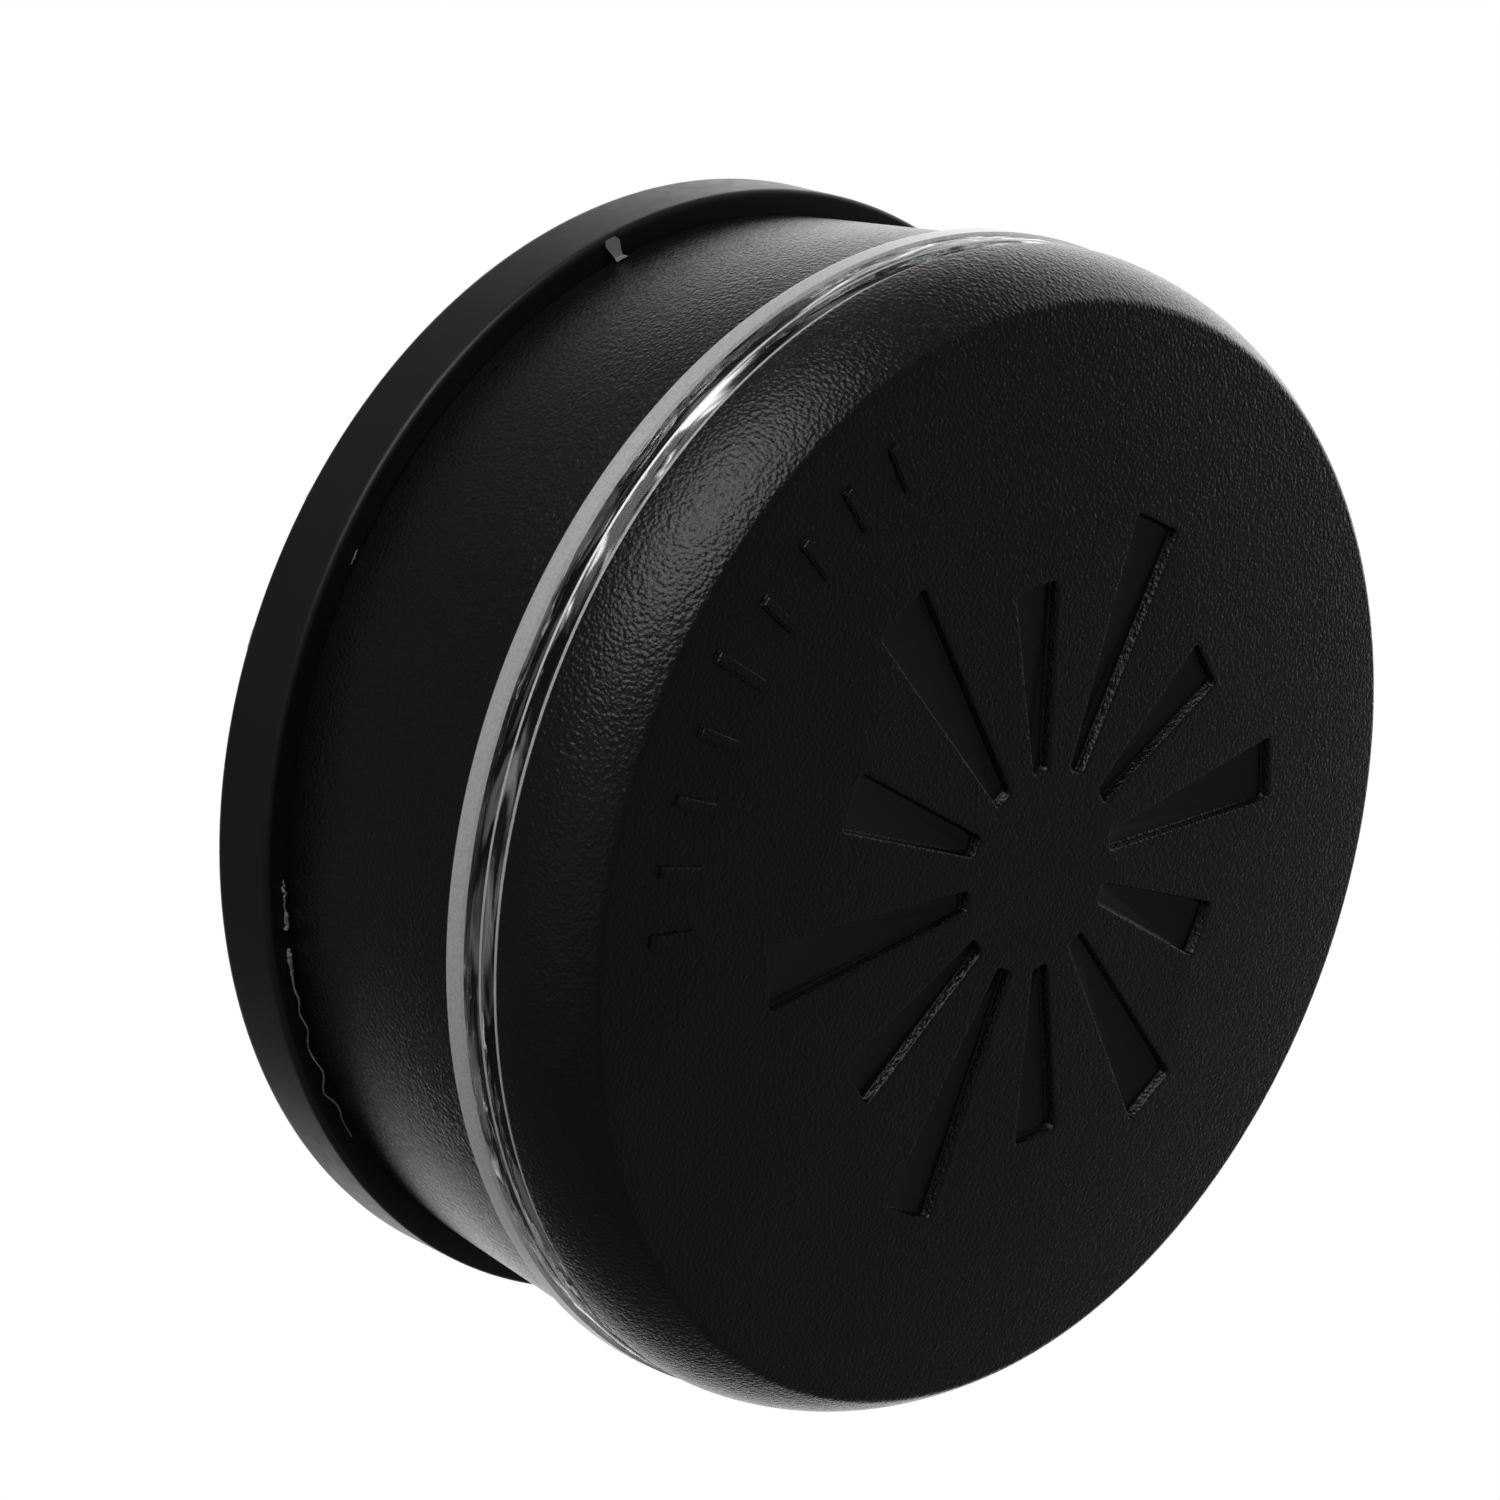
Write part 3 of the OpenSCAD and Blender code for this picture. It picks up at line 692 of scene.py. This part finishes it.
grained_asa = grained("grained_black_asa", "#141415", 0.28, 0.24, 0.044)
housing = put(bpy.data.meshes.new("housing_side"), "housing_side")
grown_by_nodes(
    housing,
    swept_wall,
    {
        "Foot radius": (housing_top_r - HOUSING_DRAFT) * MM,
        "Draft": HOUSING_DRAFT * MM,
        "Wall": HOUSING_WALL * MM,
        "Bottom": z_housing * MM,
        "Top": z_lens * MM,
        "Fillet": HOUSING_FILLET * MM,
        "Segments": SEGMENTS,
        "Material": grained_asa,
    },
)
bm = bmesh.new()
bm.from_mesh(housing.data)
bmesh.ops.recalc_face_normals(bm, faces=bm.faces)
bm.to_mesh(housing.data)
bm.free()
housing.data.shade_smooth()
housing.data.set_sharp_from_angle(angle=math.radians(32))
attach(housing, "root")
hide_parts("housing")


# ---- Joint sealant -----------------------------------------------------------------------------------------
# Clear silicone that bonds the base to the housing. Most of it was wiped off; dry scraps and threads of the
# squeeze-out still stick to the joint.
SCRAP_T = 0.06
BOND_IN_R = 31.2
# Cured silicone: cloudy, soft and slightly shiny
silicone = finish("cured_silicone", "#b9bcbb", 0.35, 0.2, 0.02)
silicone.node_tree.nodes["Principled BSDF"].inputs["Transmission Weight"].default_value = 0.45
draws = random.Random(7)
housing_foot_r = housing_top_r - HOUSING_DRAFT
bm = bmesh.new()
bond_loops = [
    circle(bm, r, z)
    for r, z in (
        (BOND_IN_R, z_housing - 0.3),
        (housing_foot_r - 0.05, z_housing - 0.3),
        (housing_foot_r - 0.05, z_housing - 0.02),
        (BOND_IN_R, z_housing - 0.02),
    )
]
bridge(bm, [*bond_loops, bond_loops[0]])


def scrap(bm, angle, path, jitter):
    """Thin torn flake: its path gives radius, height and half width from one end to the other."""
    skins = []
    for side in (-0.5, 0.5):
        rows = []
        for r, z, half_w in path:
            row = []
            for across in (-1.0, -0.4, 0.3, 1.0):
                along = (half_w * across + draws.uniform(-jitter, jitter)) / r
                a = math.radians(angle) + along
                out = r + side * SCRAP_T
                row.append(bm.verts.new((out * math.cos(a), out * math.sin(a), z + side * SCRAP_T)))
            rows.append(row)
        skins.append(rows)
    low, top = skins
    for rows, flip in ((low, False), (top, True)):
        for a, b in zip(rows, rows[1:]):
            for i in range(3):
                quad = (a[i], a[i + 1], b[i + 1], b[i])
                bm.faces.new(reversed(quad) if flip else quad)
    edge_low = low[0] + [row[-1] for row in low[1:]] + low[-1][-2::-1] + [row[0] for row in low[-2:0:-1]]
    edge_top = top[0] + [row[-1] for row in top[1:]] + top[-1][-2::-1] + [row[0] for row in top[-2:0:-1]]
    bridge(bm, [edge_low, edge_top])


def strand(bm, first, last, radius, height, girths, unrest):
    """Strand that lies along the joint between two angles; its girth runs through the given values."""
    count = max(8, int(abs(last - first) * 2))
    points, sizes = [], []
    for k in range(count + 1):
        t = k / count
        shift = Vector((noise.noise((first, t * 8, 1)), noise.noise((first, t * 8, 2)))) * unrest
        points.append(Vector((*spot(radius + shift.x, first + (last - first) * t), height + shift.y)))
        at = t * (len(girths) - 1)
        i = min(int(at), len(girths) - 2)
        sizes.append((girths[i] + (girths[i + 1] - girths[i]) * (at - i)) * draws.uniform(0.75, 1.25))
    loops = []
    for i, point in enumerate(points):
        along = (points[min(i + 1, count)] - points[max(i - 1, 0)]).normalized()
        side = along.cross(Vector((0, 0, 1))).normalized()
        up = side.cross(along)
        ring = [2 * math.pi * k / 7 for k in range(7)]
        loops.append([bm.verts.new(point + (side * math.cos(a) + up * math.sin(a)) * sizes[i]) for a in ring])
    bridge(bm, loops)
    bm.faces.new(loops[0])
    bm.faces.new(loops[-1])


z_flange = z_housing + 0.05
# A flake across the flange, then strands along the joint, one of them drawn out to a thread
flake = [
    (34.4, z_flange - 0.12, 0.42),
    (34.1, z_flange + 0.02, 0.5),
    (33.7, z_flange + 0.1, 0.4),
    (33.35, z_flange + 0.3, 0.33),
    (33.27, z_flange + 0.65, 0.45),
]
scrap(bm, -138, flake, 0.1)
strand(bm, -63.5, -61.2, 33.5, z_flange + 0.15, (0.03, 0.1, 0.04), 0.25)
strand(bm, -61.3, -58.3, 33.45, z_flange + 0.15, (0.04, 0.06, 0.16, 0.13), 0.2)
strand(bm, -56.2, -53.8, 33.5, z_flange + 0.15, (0.09, 0.16, 0.12, 0.07), 0.15)
strand(bm, -53.9, -33.0, 33.55, z_flange + 0.25, (0.07, 0.045, 0.05, 0.04, 0.05, 0.03), 0.55)
strand(bm, -96.5, -95.0, 33.35, z_flange + 0.05, (0.02, 0.05, 0.02), 0.05)
sealant = finished(bm, "joint_sealant_scraps", [silicone])
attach(sealant, "root")
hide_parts("joint_sealant")


# ---- Pieces inside the case --------------------------------------------------------------------------------
# Deck, driver and light source. They are shut in and keep their CAD shapes; each gets its own finish.
INSIDE = {
    "heat_sink": ("cast_aluminium_deck", "#a9acae", 0.5, 0.4, 0.02, 1.0),
    "deck_screws": ("deck_screw_steel", "#b9bbbd", 0.3, 0.2, 0.005, 1.0),
    "thermal_pad": ("silicone_thermal_pad", "#8091a4", 0.8, 0.3, 0.01, 0.0),
    "led_board": ("white_solder_mask", "#e4e6e2", 0.4, 0.2, 0.003, 0.0),
    "led_board_screws": ("board_screw_steel", "#b9bbbd", 0.3, 0.2, 0.005, 1.0),
    "leds": ("yellow_phosphor", "#efe0a0", 0.45, 0.1, 0.004, 0.0),
    "cap_screws": ("cap_screw_steel", "#b9bbbd", 0.3, 0.2, 0.005, 1.0),
    "board_standoffs": ("milled_brass", "#c7a24f", 0.3, 0.2, 0.005, 1.0),
    "driver_board": ("green_solder_mask", "#1f5a38", 0.4, 0.3, 0.004, 0.0),
    "driver_screws": ("driver_screw_steel", "#b9bbbd", 0.3, 0.2, 0.005, 1.0),
    "driver_chip": ("moulded_epoxy", "#151515", 0.55, 0.1, 0.004, 0.0),
    "inductor": ("sintered_ferrite", "#55565a", 0.6, 0.15, 0.008, 0.0),
    "capacitors": ("coated_aluminium_can", "#9aa4b4", 0.35, 0.3, 0.004, 1.0),
    "protection_diodes": ("moulded_epoxy_diodes", "#202020", 0.55, 0.1, 0.004, 0.0),
    "supply_terminal": ("green_polyamide", "#2f7c47", 0.45, 0.3, 0.006, 0.0),
    "link_pins": ("drawn_brass", "#c7a24f", 0.25, 0.1, 0.003, 1.0),
    "link_insulators": ("white_polyamide", "#e6e3d8", 0.5, 0.3, 0.006, 0.0),
}
for node_name, (label, colour, roughness, grain, depth, metallic) in INSIDE.items():
    material = finish(label, colour, roughness, grain, depth, 0.08, metallic)
    for material_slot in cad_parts[node_name].material_slots:
        material_slot.material = material


# ---- Shade ring and reflector ------------------------------------------------------------------------------
# Behind the lens, a black ring hides the deck, and a metallised cone turns the light of the diodes outwards.
SHADE_W = 5.5
SHADE_T = 1
shade_low, shade_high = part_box("shade_ring")
satin_black = finish("satin_black_shade", "#101010", 0.5, 0.4, 0.01)
shade_r = shade_high.x / MM
z_shade = shade_low.z / MM
shade = turned(
    "shade_ring_moulding",
    outline(
        [
            (shade_r - SHADE_W, z_shade, 0),
            (shade_r, z_shade, 0.1),
            (shade_r, z_shade + SHADE_T, 0.1),
            (shade_r - SHADE_W, z_shade + SHADE_T, 0),
        ]
    ),
    satin_black,
)
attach(shade, "root")
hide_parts("shade_ring")

# Vacuum-metallised polycarbonate: mirror-bright aluminium with a slight orange peel
CONE_FOOT_R, CONE_RUN, CONE_BORE_R, CONE_T = 21.0, 5.0, 17.2, 1.2
metallised = finish("metallised_polycarbonate", "#d9dadb", 0.12, 1.5, 0.01, 0.03, 1.0)
z_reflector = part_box("reflector")[0].z / MM
z_reflector_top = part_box("reflector")[1].z / MM
reflector = turned(
    "reflector_cone",
    outline(
        [
            (CONE_BORE_R, z_reflector_top - CONE_T, 0),
            (CONE_FOOT_R - 0.4, z_reflector_top - CONE_T, 0),
            (CONE_FOOT_R - 0.4, z_reflector, 0),
            (CONE_FOOT_R, z_reflector, 0),
            (CONE_FOOT_R + CONE_RUN, z_reflector + CONE_RUN, 0.1),
            (CONE_FOOT_R + CONE_RUN, z_reflector_top, 0),
            (CONE_BORE_R, z_reflector_top, 0),
        ]
    ),
    metallised,
)
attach(reflector, "root")
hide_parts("reflector")


# ---- Lens ring and its seals -------------------------------------------------------------------------------
# Clear ring that the light leaves by, moulded in acrylic and polished, with a satin band along its back
# edge. A rubber cord seals it on each side.
LENS_H = 3.8
SATIN_H = 1.3
RIDGE_H = 2.5
LIP_H = 0.22
LENS_IN_R = 30.0
LENS_SEAT_R = 31.7
LENS_BULGE = 0.8
LENS_WAVE = 0.07
FLOW_STRETCH = 7
lens_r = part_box("lens_ring")[1].x / MM
z_lens_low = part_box("lens_ring")[0].z / MM
z_lens_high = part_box("lens_ring")[1].z / MM
z_cap = z_lens + LENS_H

for node_name in ("lens_seal", "cap_seal"):
    low_corner, high_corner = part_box(node_name)
    cord_r = (high_corner.z - low_corner.z) / MM / 2
    ring_r = high_corner.x / MM - cord_r
    middle_z = (high_corner.z + low_corner.z) / MM / 2
    section = [
        Vector((ring_r + cord_r * math.cos(a), middle_z + cord_r * math.sin(a)))
        for a in [2 * math.pi * k / 20 for k in range(20)]
    ]
    seal = turned(node_name + "_cord", section, rubber)
    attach(seal, "root")
    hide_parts(node_name)

# Polished acrylic: clear, with flow waves drawn out round the ring. In the real ring the inner face turns
# light back in long bright streaks; patches of mirror finish that follow the waves stand in for them.
clear_acrylic = bpy.data.materials.new("polished_acrylic")
clear_acrylic.use_nodes = True
tree = clear_acrylic.node_tree
shader = tree.nodes["Principled BSDF"]
shader.inputs["Base Color"].default_value = linear("#f3f6f7")
shader.inputs["IOR"].default_value = 1.49
shader.inputs["Transmission Weight"].default_value = 1.0
place = add(tree, "ShaderNodeTexCoord").outputs["Object"]
stretch = (1 / FLOW_STRETCH, 1 / FLOW_STRETCH, 1)
drawn_out = add(tree, "ShaderNodeVectorMath", {0: place}, {1: stretch}, operation="MULTIPLY").outputs[0]
waves = add(
    tree,
    "ShaderNodeTexNoise",
    {"Vector": drawn_out},
    {"Scale": 1 / (0.8 * MM), "Detail": 2.0, "Distortion": 0.6},
).outputs["Fac"]
flow = add(tree, "ShaderNodeBump", {"Height": waves}, {"Strength": 1.0, "Distance": 0.16 * MM}).outputs[0]
haze = add(tree, "ShaderNodeMapRange", {"Value": waves}, {"To Min": 0.02, "To Max": 0.1}).outputs[0]
streaks = add(
    tree,
    "ShaderNodeMapRange",
    {"Value": waves},
    {"From Min": 0.5, "From Max": 0.66, "To Max": 0.9},
    interpolation_type="SMOOTHSTEP",
).outputs[0]
tree.links.new(flow, shader.inputs["Normal"])
tree.links.new(haze, shader.inputs["Roughness"])
tree.links.new(streaks, shader.inputs["Metallic"])
# The satin band has the frost of its blasted mould, drawn coarser than it is so that it shows. The real band
# also lets out light that the clear ring carries round; a half metallic finish and a faint painted glow stand
# in.
satin_acrylic_painted_glow = bpy.data.materials.new("satin_acrylic_painted_glow")
satin_acrylic_painted_glow.use_nodes = True
tree = satin_acrylic_painted_glow.node_tree
shader = tree.nodes["Principled BSDF"]
shader.inputs["IOR"].default_value = 1.49
shader.inputs["Transmission Weight"].default_value = 0.1
shader.inputs["Metallic"].default_value = 0.5
# Painted glow: faint white light in place of the light the clear ring carries round to the band
shader.inputs["Emission Color"].default_value = linear("#f4f6f8")
shader.inputs["Emission Strength"].default_value = 0.07
place = add(tree, "ShaderNodeTexCoord").outputs["Object"]
frost = add(
    tree, "ShaderNodeTexNoise", {"Vector": place}, {"Scale": 1 / (0.2 * MM), "Detail": 3.0}
).outputs["Fac"]
ramp = add(tree, "ShaderNodeValToRGB", {"Fac": frost})
for stop, place_on_ramp, tint in ((0, 0.3, "#dcdfe1"), (1, 0.7, "#f8f9f9")):
    ramp.color_ramp.elements[stop].position = place_on_ramp
    ramp.color_ramp.elements[stop].color = linear(tint)
tree.links.new(ramp.outputs["Color"], shader.inputs["Base Color"])
grit = add(tree, "ShaderNodeMapRange", {"Value": frost}, {"To Min": 0.3, "To Max": 0.5}).outputs[0]
tree.links.new(grit, shader.inputs["Roughness"])
pits = add(tree, "ShaderNodeBump", {"Height": frost}, {"Strength": 1.0, "Distance": 0.01 * MM}).outputs[0]
tree.links.new(pits, shader.inputs["Normal"])

bulge_points = []
for k in range(1, 12):
    a = math.pi / 2 + math.pi * k / 12
    bulge_z = z_lens + LENS_H / 2 + LENS_H / 2 * math.sin(a)
    bulge_points.append((LENS_IN_R + LENS_BULGE * math.cos(a), bulge_z, 0))
lens = turned(
    "lens_ring_moulding",
    outline(
        [
            (LENS_IN_R, z_lens_low + 0.02, 0),
            (LENS_SEAT_R, z_lens_low + 0.02, 0),
            (LENS_SEAT_R, z_lens + 0.06, 0),
            (lens_r, z_lens + 0.06, 0.1),
            (lens_r - 0.04, z_lens + SATIN_H - 0.14, 0),
            (lens_r - 0.2, z_lens + SATIN_H, 0),
            (lens_r - 0.24, z_lens + RIDGE_H, 0),
            (lens_r - 0.31, z_lens + RIDGE_H + 0.09, 0),
            (lens_r - 0.55, z_cap - LIP_H - 0.06, 0),
            (lens_r - 0.42, z_cap - LIP_H, 0),
            (lens_r - 0.42, z_cap - 0.06, 0.04),
            (LENS_SEAT_R, z_cap - 0.06, 0),
            (LENS_SEAT_R, z_lens_high - 0.02, 0),
            (LENS_IN_R, z_lens_high - 0.02, 0),
            *bulge_points,
        ]
    ),
    clear_acrylic,
    512,
)
lens.data.materials.append(satin_acrylic_painted_glow)
# Satin with the painted glow are the band, the narrow ridge over it and the lip under the cap. On the ridge
# and the lip the painted glow makes thin bright edge lines.
for face in lens.data.polygons:
    z = face.center.z / MM
    band = z_lens + 0.1 < z < z_lens + SATIN_H
    satin_with_painted_glow = band or 0 < z - z_lens - RIDGE_H < 0.09 or z > z_cap - LIP_H - 0.06
    outside = face.center.xy.length > (lens_r - 0.6) * MM and z < z_cap
    face.material_index = int(satin_with_painted_glow and outside)
# The inner face is gently uneven, as a thick moulding is where it shrank
for vertex in lens.data.vertices:
    if vertex.co.xy.length < (LENS_IN_R - 0.05) * MM:
        out = vertex.co.xy.normalized()
        wave = noise.noise((out.x * 9, out.y * 9, vertex.co.z / MM * 0.5))
        vertex.co.xy += out * wave * LENS_WAVE * MM
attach(lens, "root")
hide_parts("lens_ring")


# ---- Top cap -----------------------------------------------------------------------------------------------
# Cap of black ASA with the same grain as the housing. Its shoulder ends in a crest round a slightly crowned
# face. A recessed sun symbol has smoother floors, and raised index bars show the fore-and-aft line.
CAP_CROWN = 1.6
SHOULDER_LEAN = 2.3
SHOULDER_R = 10.0
CREST_R = 0.7
FACE_FLAT_R = 4.0
CAP_WALL = 2.9
RAY_COUNT = 12
RAY_DEPTH = 0.6
RAY_FOOT_R, RAY_FOOT_HALF_W = 6.0, 0.6
RAY_TIPS = ((21.0, 2.0), (17.0, 1.7))
# Steps down a ray's wall: how far out from its outline, the fillet there, and the height from the face
RAY_STEPS = [
    (0.35, 0.65, 0.0),
    (0.12, 0.42, 0.0),
    (0.05, 0.35, -0.02),
    (0.0, 0.3, -0.09),
    (-0.04, 0.26, 0.1 - RAY_DEPTH),
    (-0.08, 0.22, 0.03 - RAY_DEPTH),
    (-0.15, 0.15, -RAY_DEPTH),
]
# Rings of points that carry the crown of the face: radius and number
FACE_RINGS = [
    (0, 1),
    (2.5, 12),
    (4.5, 24),
    (19.0, 96),
    (22.5, 96),
    (24, 128),
    (25.5, 128),
    (27, 128),
    (28.5, 256),
    (30, 256),
    (31.2, 256),
]
z_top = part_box("top_cap")[1].z / MM
cap_edge_r = lens_r - 0.2
cap_face_r = cap_edge_r - SHOULDER_LEAN


def face_height(radius):
    """Height of the crowned face at a radius."""
    return z_top - CAP_CROWN * (max(0, radius - FACE_FLAT_R) / (cap_face_r - FACE_FLAT_R)) ** 2


def ray_loop(corners, distance, fillet, steps=4):
    """Outline of a ray, grown by distance and with rounded corners, as points."""
    sides = []
    for i, here in enumerate(corners):
        there = corners[(i + 1) % len(corners)]
        along = (there - here).normalized()
        shift = Vector((along.y, -along.x)) * distance
        sides.append((here + shift, along))
    points = []
    for i, (start, along) in enumerate(sides):
        before, run_in = sides[i - 1]
        corner = before + run_in * ((start - before).cross(along) / run_in.cross(along))
        half_angle = (-run_in).angle(along) / 2
        centre = corner + (along - run_in).normalized() * fillet / math.sin(half_angle)
        spoke = corner - run_in * fillet / math.tan(half_angle) - centre
        sweep_angle = spoke.angle_signed(corner + along * fillet / math.tan(half_angle) - centre)
        points += [centre + Matrix.Rotation(-sweep_angle * k / steps, 2) @ spoke for k in range(steps + 1)]
    return points


bm = bmesh.new()
ray_mouths = []
for i in range(RAY_COUNT):
    tip_r, tip_half_w = RAY_TIPS[i % 2]
    turn = Matrix.Rotation(2 * math.pi * i / RAY_COUNT, 2)
    flat = [
        (RAY_FOOT_R, -RAY_FOOT_HALF_W),
        (tip_r, -tip_half_w),
        (tip_r, tip_half_w),
        (RAY_FOOT_R, RAY_FOOT_HALF_W),
    ]
    corners = [turn @ Vector(c) for c in flat]
    loops = []
    for distance, fillet, drop in RAY_STEPS:
        spots = ray_loop(corners, distance, fillet)
        loops.append([bm.verts.new((p.x, p.y, face_height(p.length) + drop)) for p in spots])
    bridge(bm, loops)
    bm.faces.new(loops[-1]).material_index = 1
    ray_mouths.append(loops[0])

# Outline from the face down over the crest and shoulder, under the rim and up into the hollow of the cap
rim_point = Vector((cap_edge_r, z_cap))
crest_point = Vector((cap_face_r, z_top - CAP_CROWN))
chord = crest_point - rim_point
rise = math.sqrt(SHOULDER_R**2 - (chord.length / 2) ** 2)
shoulder_centre = (rim_point + crest_point) / 2 + Vector((-chord.y, chord.x)).normalized() * rise
lean = math.atan(2 * CAP_CROWN / (cap_face_r - FACE_FLAT_R))
reach = (crest_point - shoulder_centre).dot(Vector((math.sin(lean), math.cos(lean)))) - CREST_R
crest_angle = math.asin(reach / (SHOULDER_R - CREST_R)) - lean
crest_way = Vector((math.cos(crest_angle), math.sin(crest_angle)))
crest_centre = shoulder_centre + crest_way * (SHOULDER_R - CREST_R)
rim_angle = math.atan2(*(rim_point - shoulder_centre).yx)
levels = []
for k in range(9):
    a = math.pi / 2 - lean + (crest_angle - math.pi / 2 + lean) * k / 8
    levels.append(crest_centre + Vector((math.cos(a), math.sin(a))) * CREST_R)
for k in range(1, 25):
    a = crest_angle + (rim_angle - crest_angle) * k / 24
    levels.append(shoulder_centre + Vector((math.cos(a), math.sin(a))) * SHOULDER_R)
levels.pop()
levels += [
    (cap_edge_r - 0.02, z_cap + 0.14),
    (cap_edge_r - 0.08, z_cap + 0.05),
    (cap_edge_r - 0.2, z_cap + 0.02),
    (LENS_SEAT_R + 0.1, z_cap + 0.02),
    (LENS_SEAT_R + 0.1, z_cap + 1.4),
    (30.0, z_cap + 1.4),
    (30.0, z_top - CAP_WALL - 1.5),
    (28.5, z_top - CAP_WALL),
]
shell = [circle(bm, r, z) for r, z in levels]
bridge(bm, shell)
bm.faces.new(shell[-1])
pierced(bm, shell[0], ray_mouths, face_height, FACE_RINGS)
# The floors of the rays were polished in the tool, so they stay smoother and darker than the face
smooth_floor = grained("stippled_ray_floor", "#0d0d0e", 0.3, 0.3, 0.006)
cap = finished(bm, "top_cap_moulding", [grained_asa, smooth_floor], 40)

# Index bars: small raised bars with eased edges, sunk a little into the face
BAR_W, BAR_PROUD, BAR_SINK, BAR_EASE = 0.7, 0.25, 0.3, 0.12
BAR_IN_R, BAR_L, MIDDLE_BAR_L = 26.6, 2.8, 3.8
BAR_MIDDLE_ANGLE, BAR_PITCH, BARS_EACH_SIDE = -99, 7.5, 4


def index_bars(angles, length):
    """Bars of one length at the given angles, made with the tree that repeats parts around the axis."""
    bm = bmesh.new()
    bmesh.ops.create_cube(bm, size=1)
    for v in bm.verts:
        x = (v.co.x + 0.5) * length
        top = BAR_PROUD if v.co.z > 0 else -BAR_SINK
        v.co = (x, v.co.y * BAR_W, face_height(BAR_IN_R + x) + top)
    tops = [e for e in bm.edges if all(v.co.z > face_height(BAR_IN_R + v.co.x) for v in e.verts)]
    bmesh.ops.bevel(bm, geom=tops, offset=BAR_EASE, segments=3, affect="EDGES")
    bars = finished(bm, "index_bars", [grained_asa], 50)
    return repeated(bars, BAR_IN_R, angles)


sides = [[BAR_MIDDLE_ANGLE + side * BAR_PITCH * k for k in range(1, BARS_EACH_SIDE + 1)] for side in (-1, 1)]
bm = bmesh.new()
bm.from_mesh(cap.data)
for angles, length in ((sides[0], BAR_L), ([BAR_MIDDLE_ANGLE], MIDDLE_BAR_L), (sides[1], BAR_L)):
    bars = index_bars(angles, length)
    bm.from_mesh(bars.data)
    bpy.data.objects.remove(bars)
bm.to_mesh(cap.data)
bm.free()
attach(cap, "root")
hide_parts("top_cap")
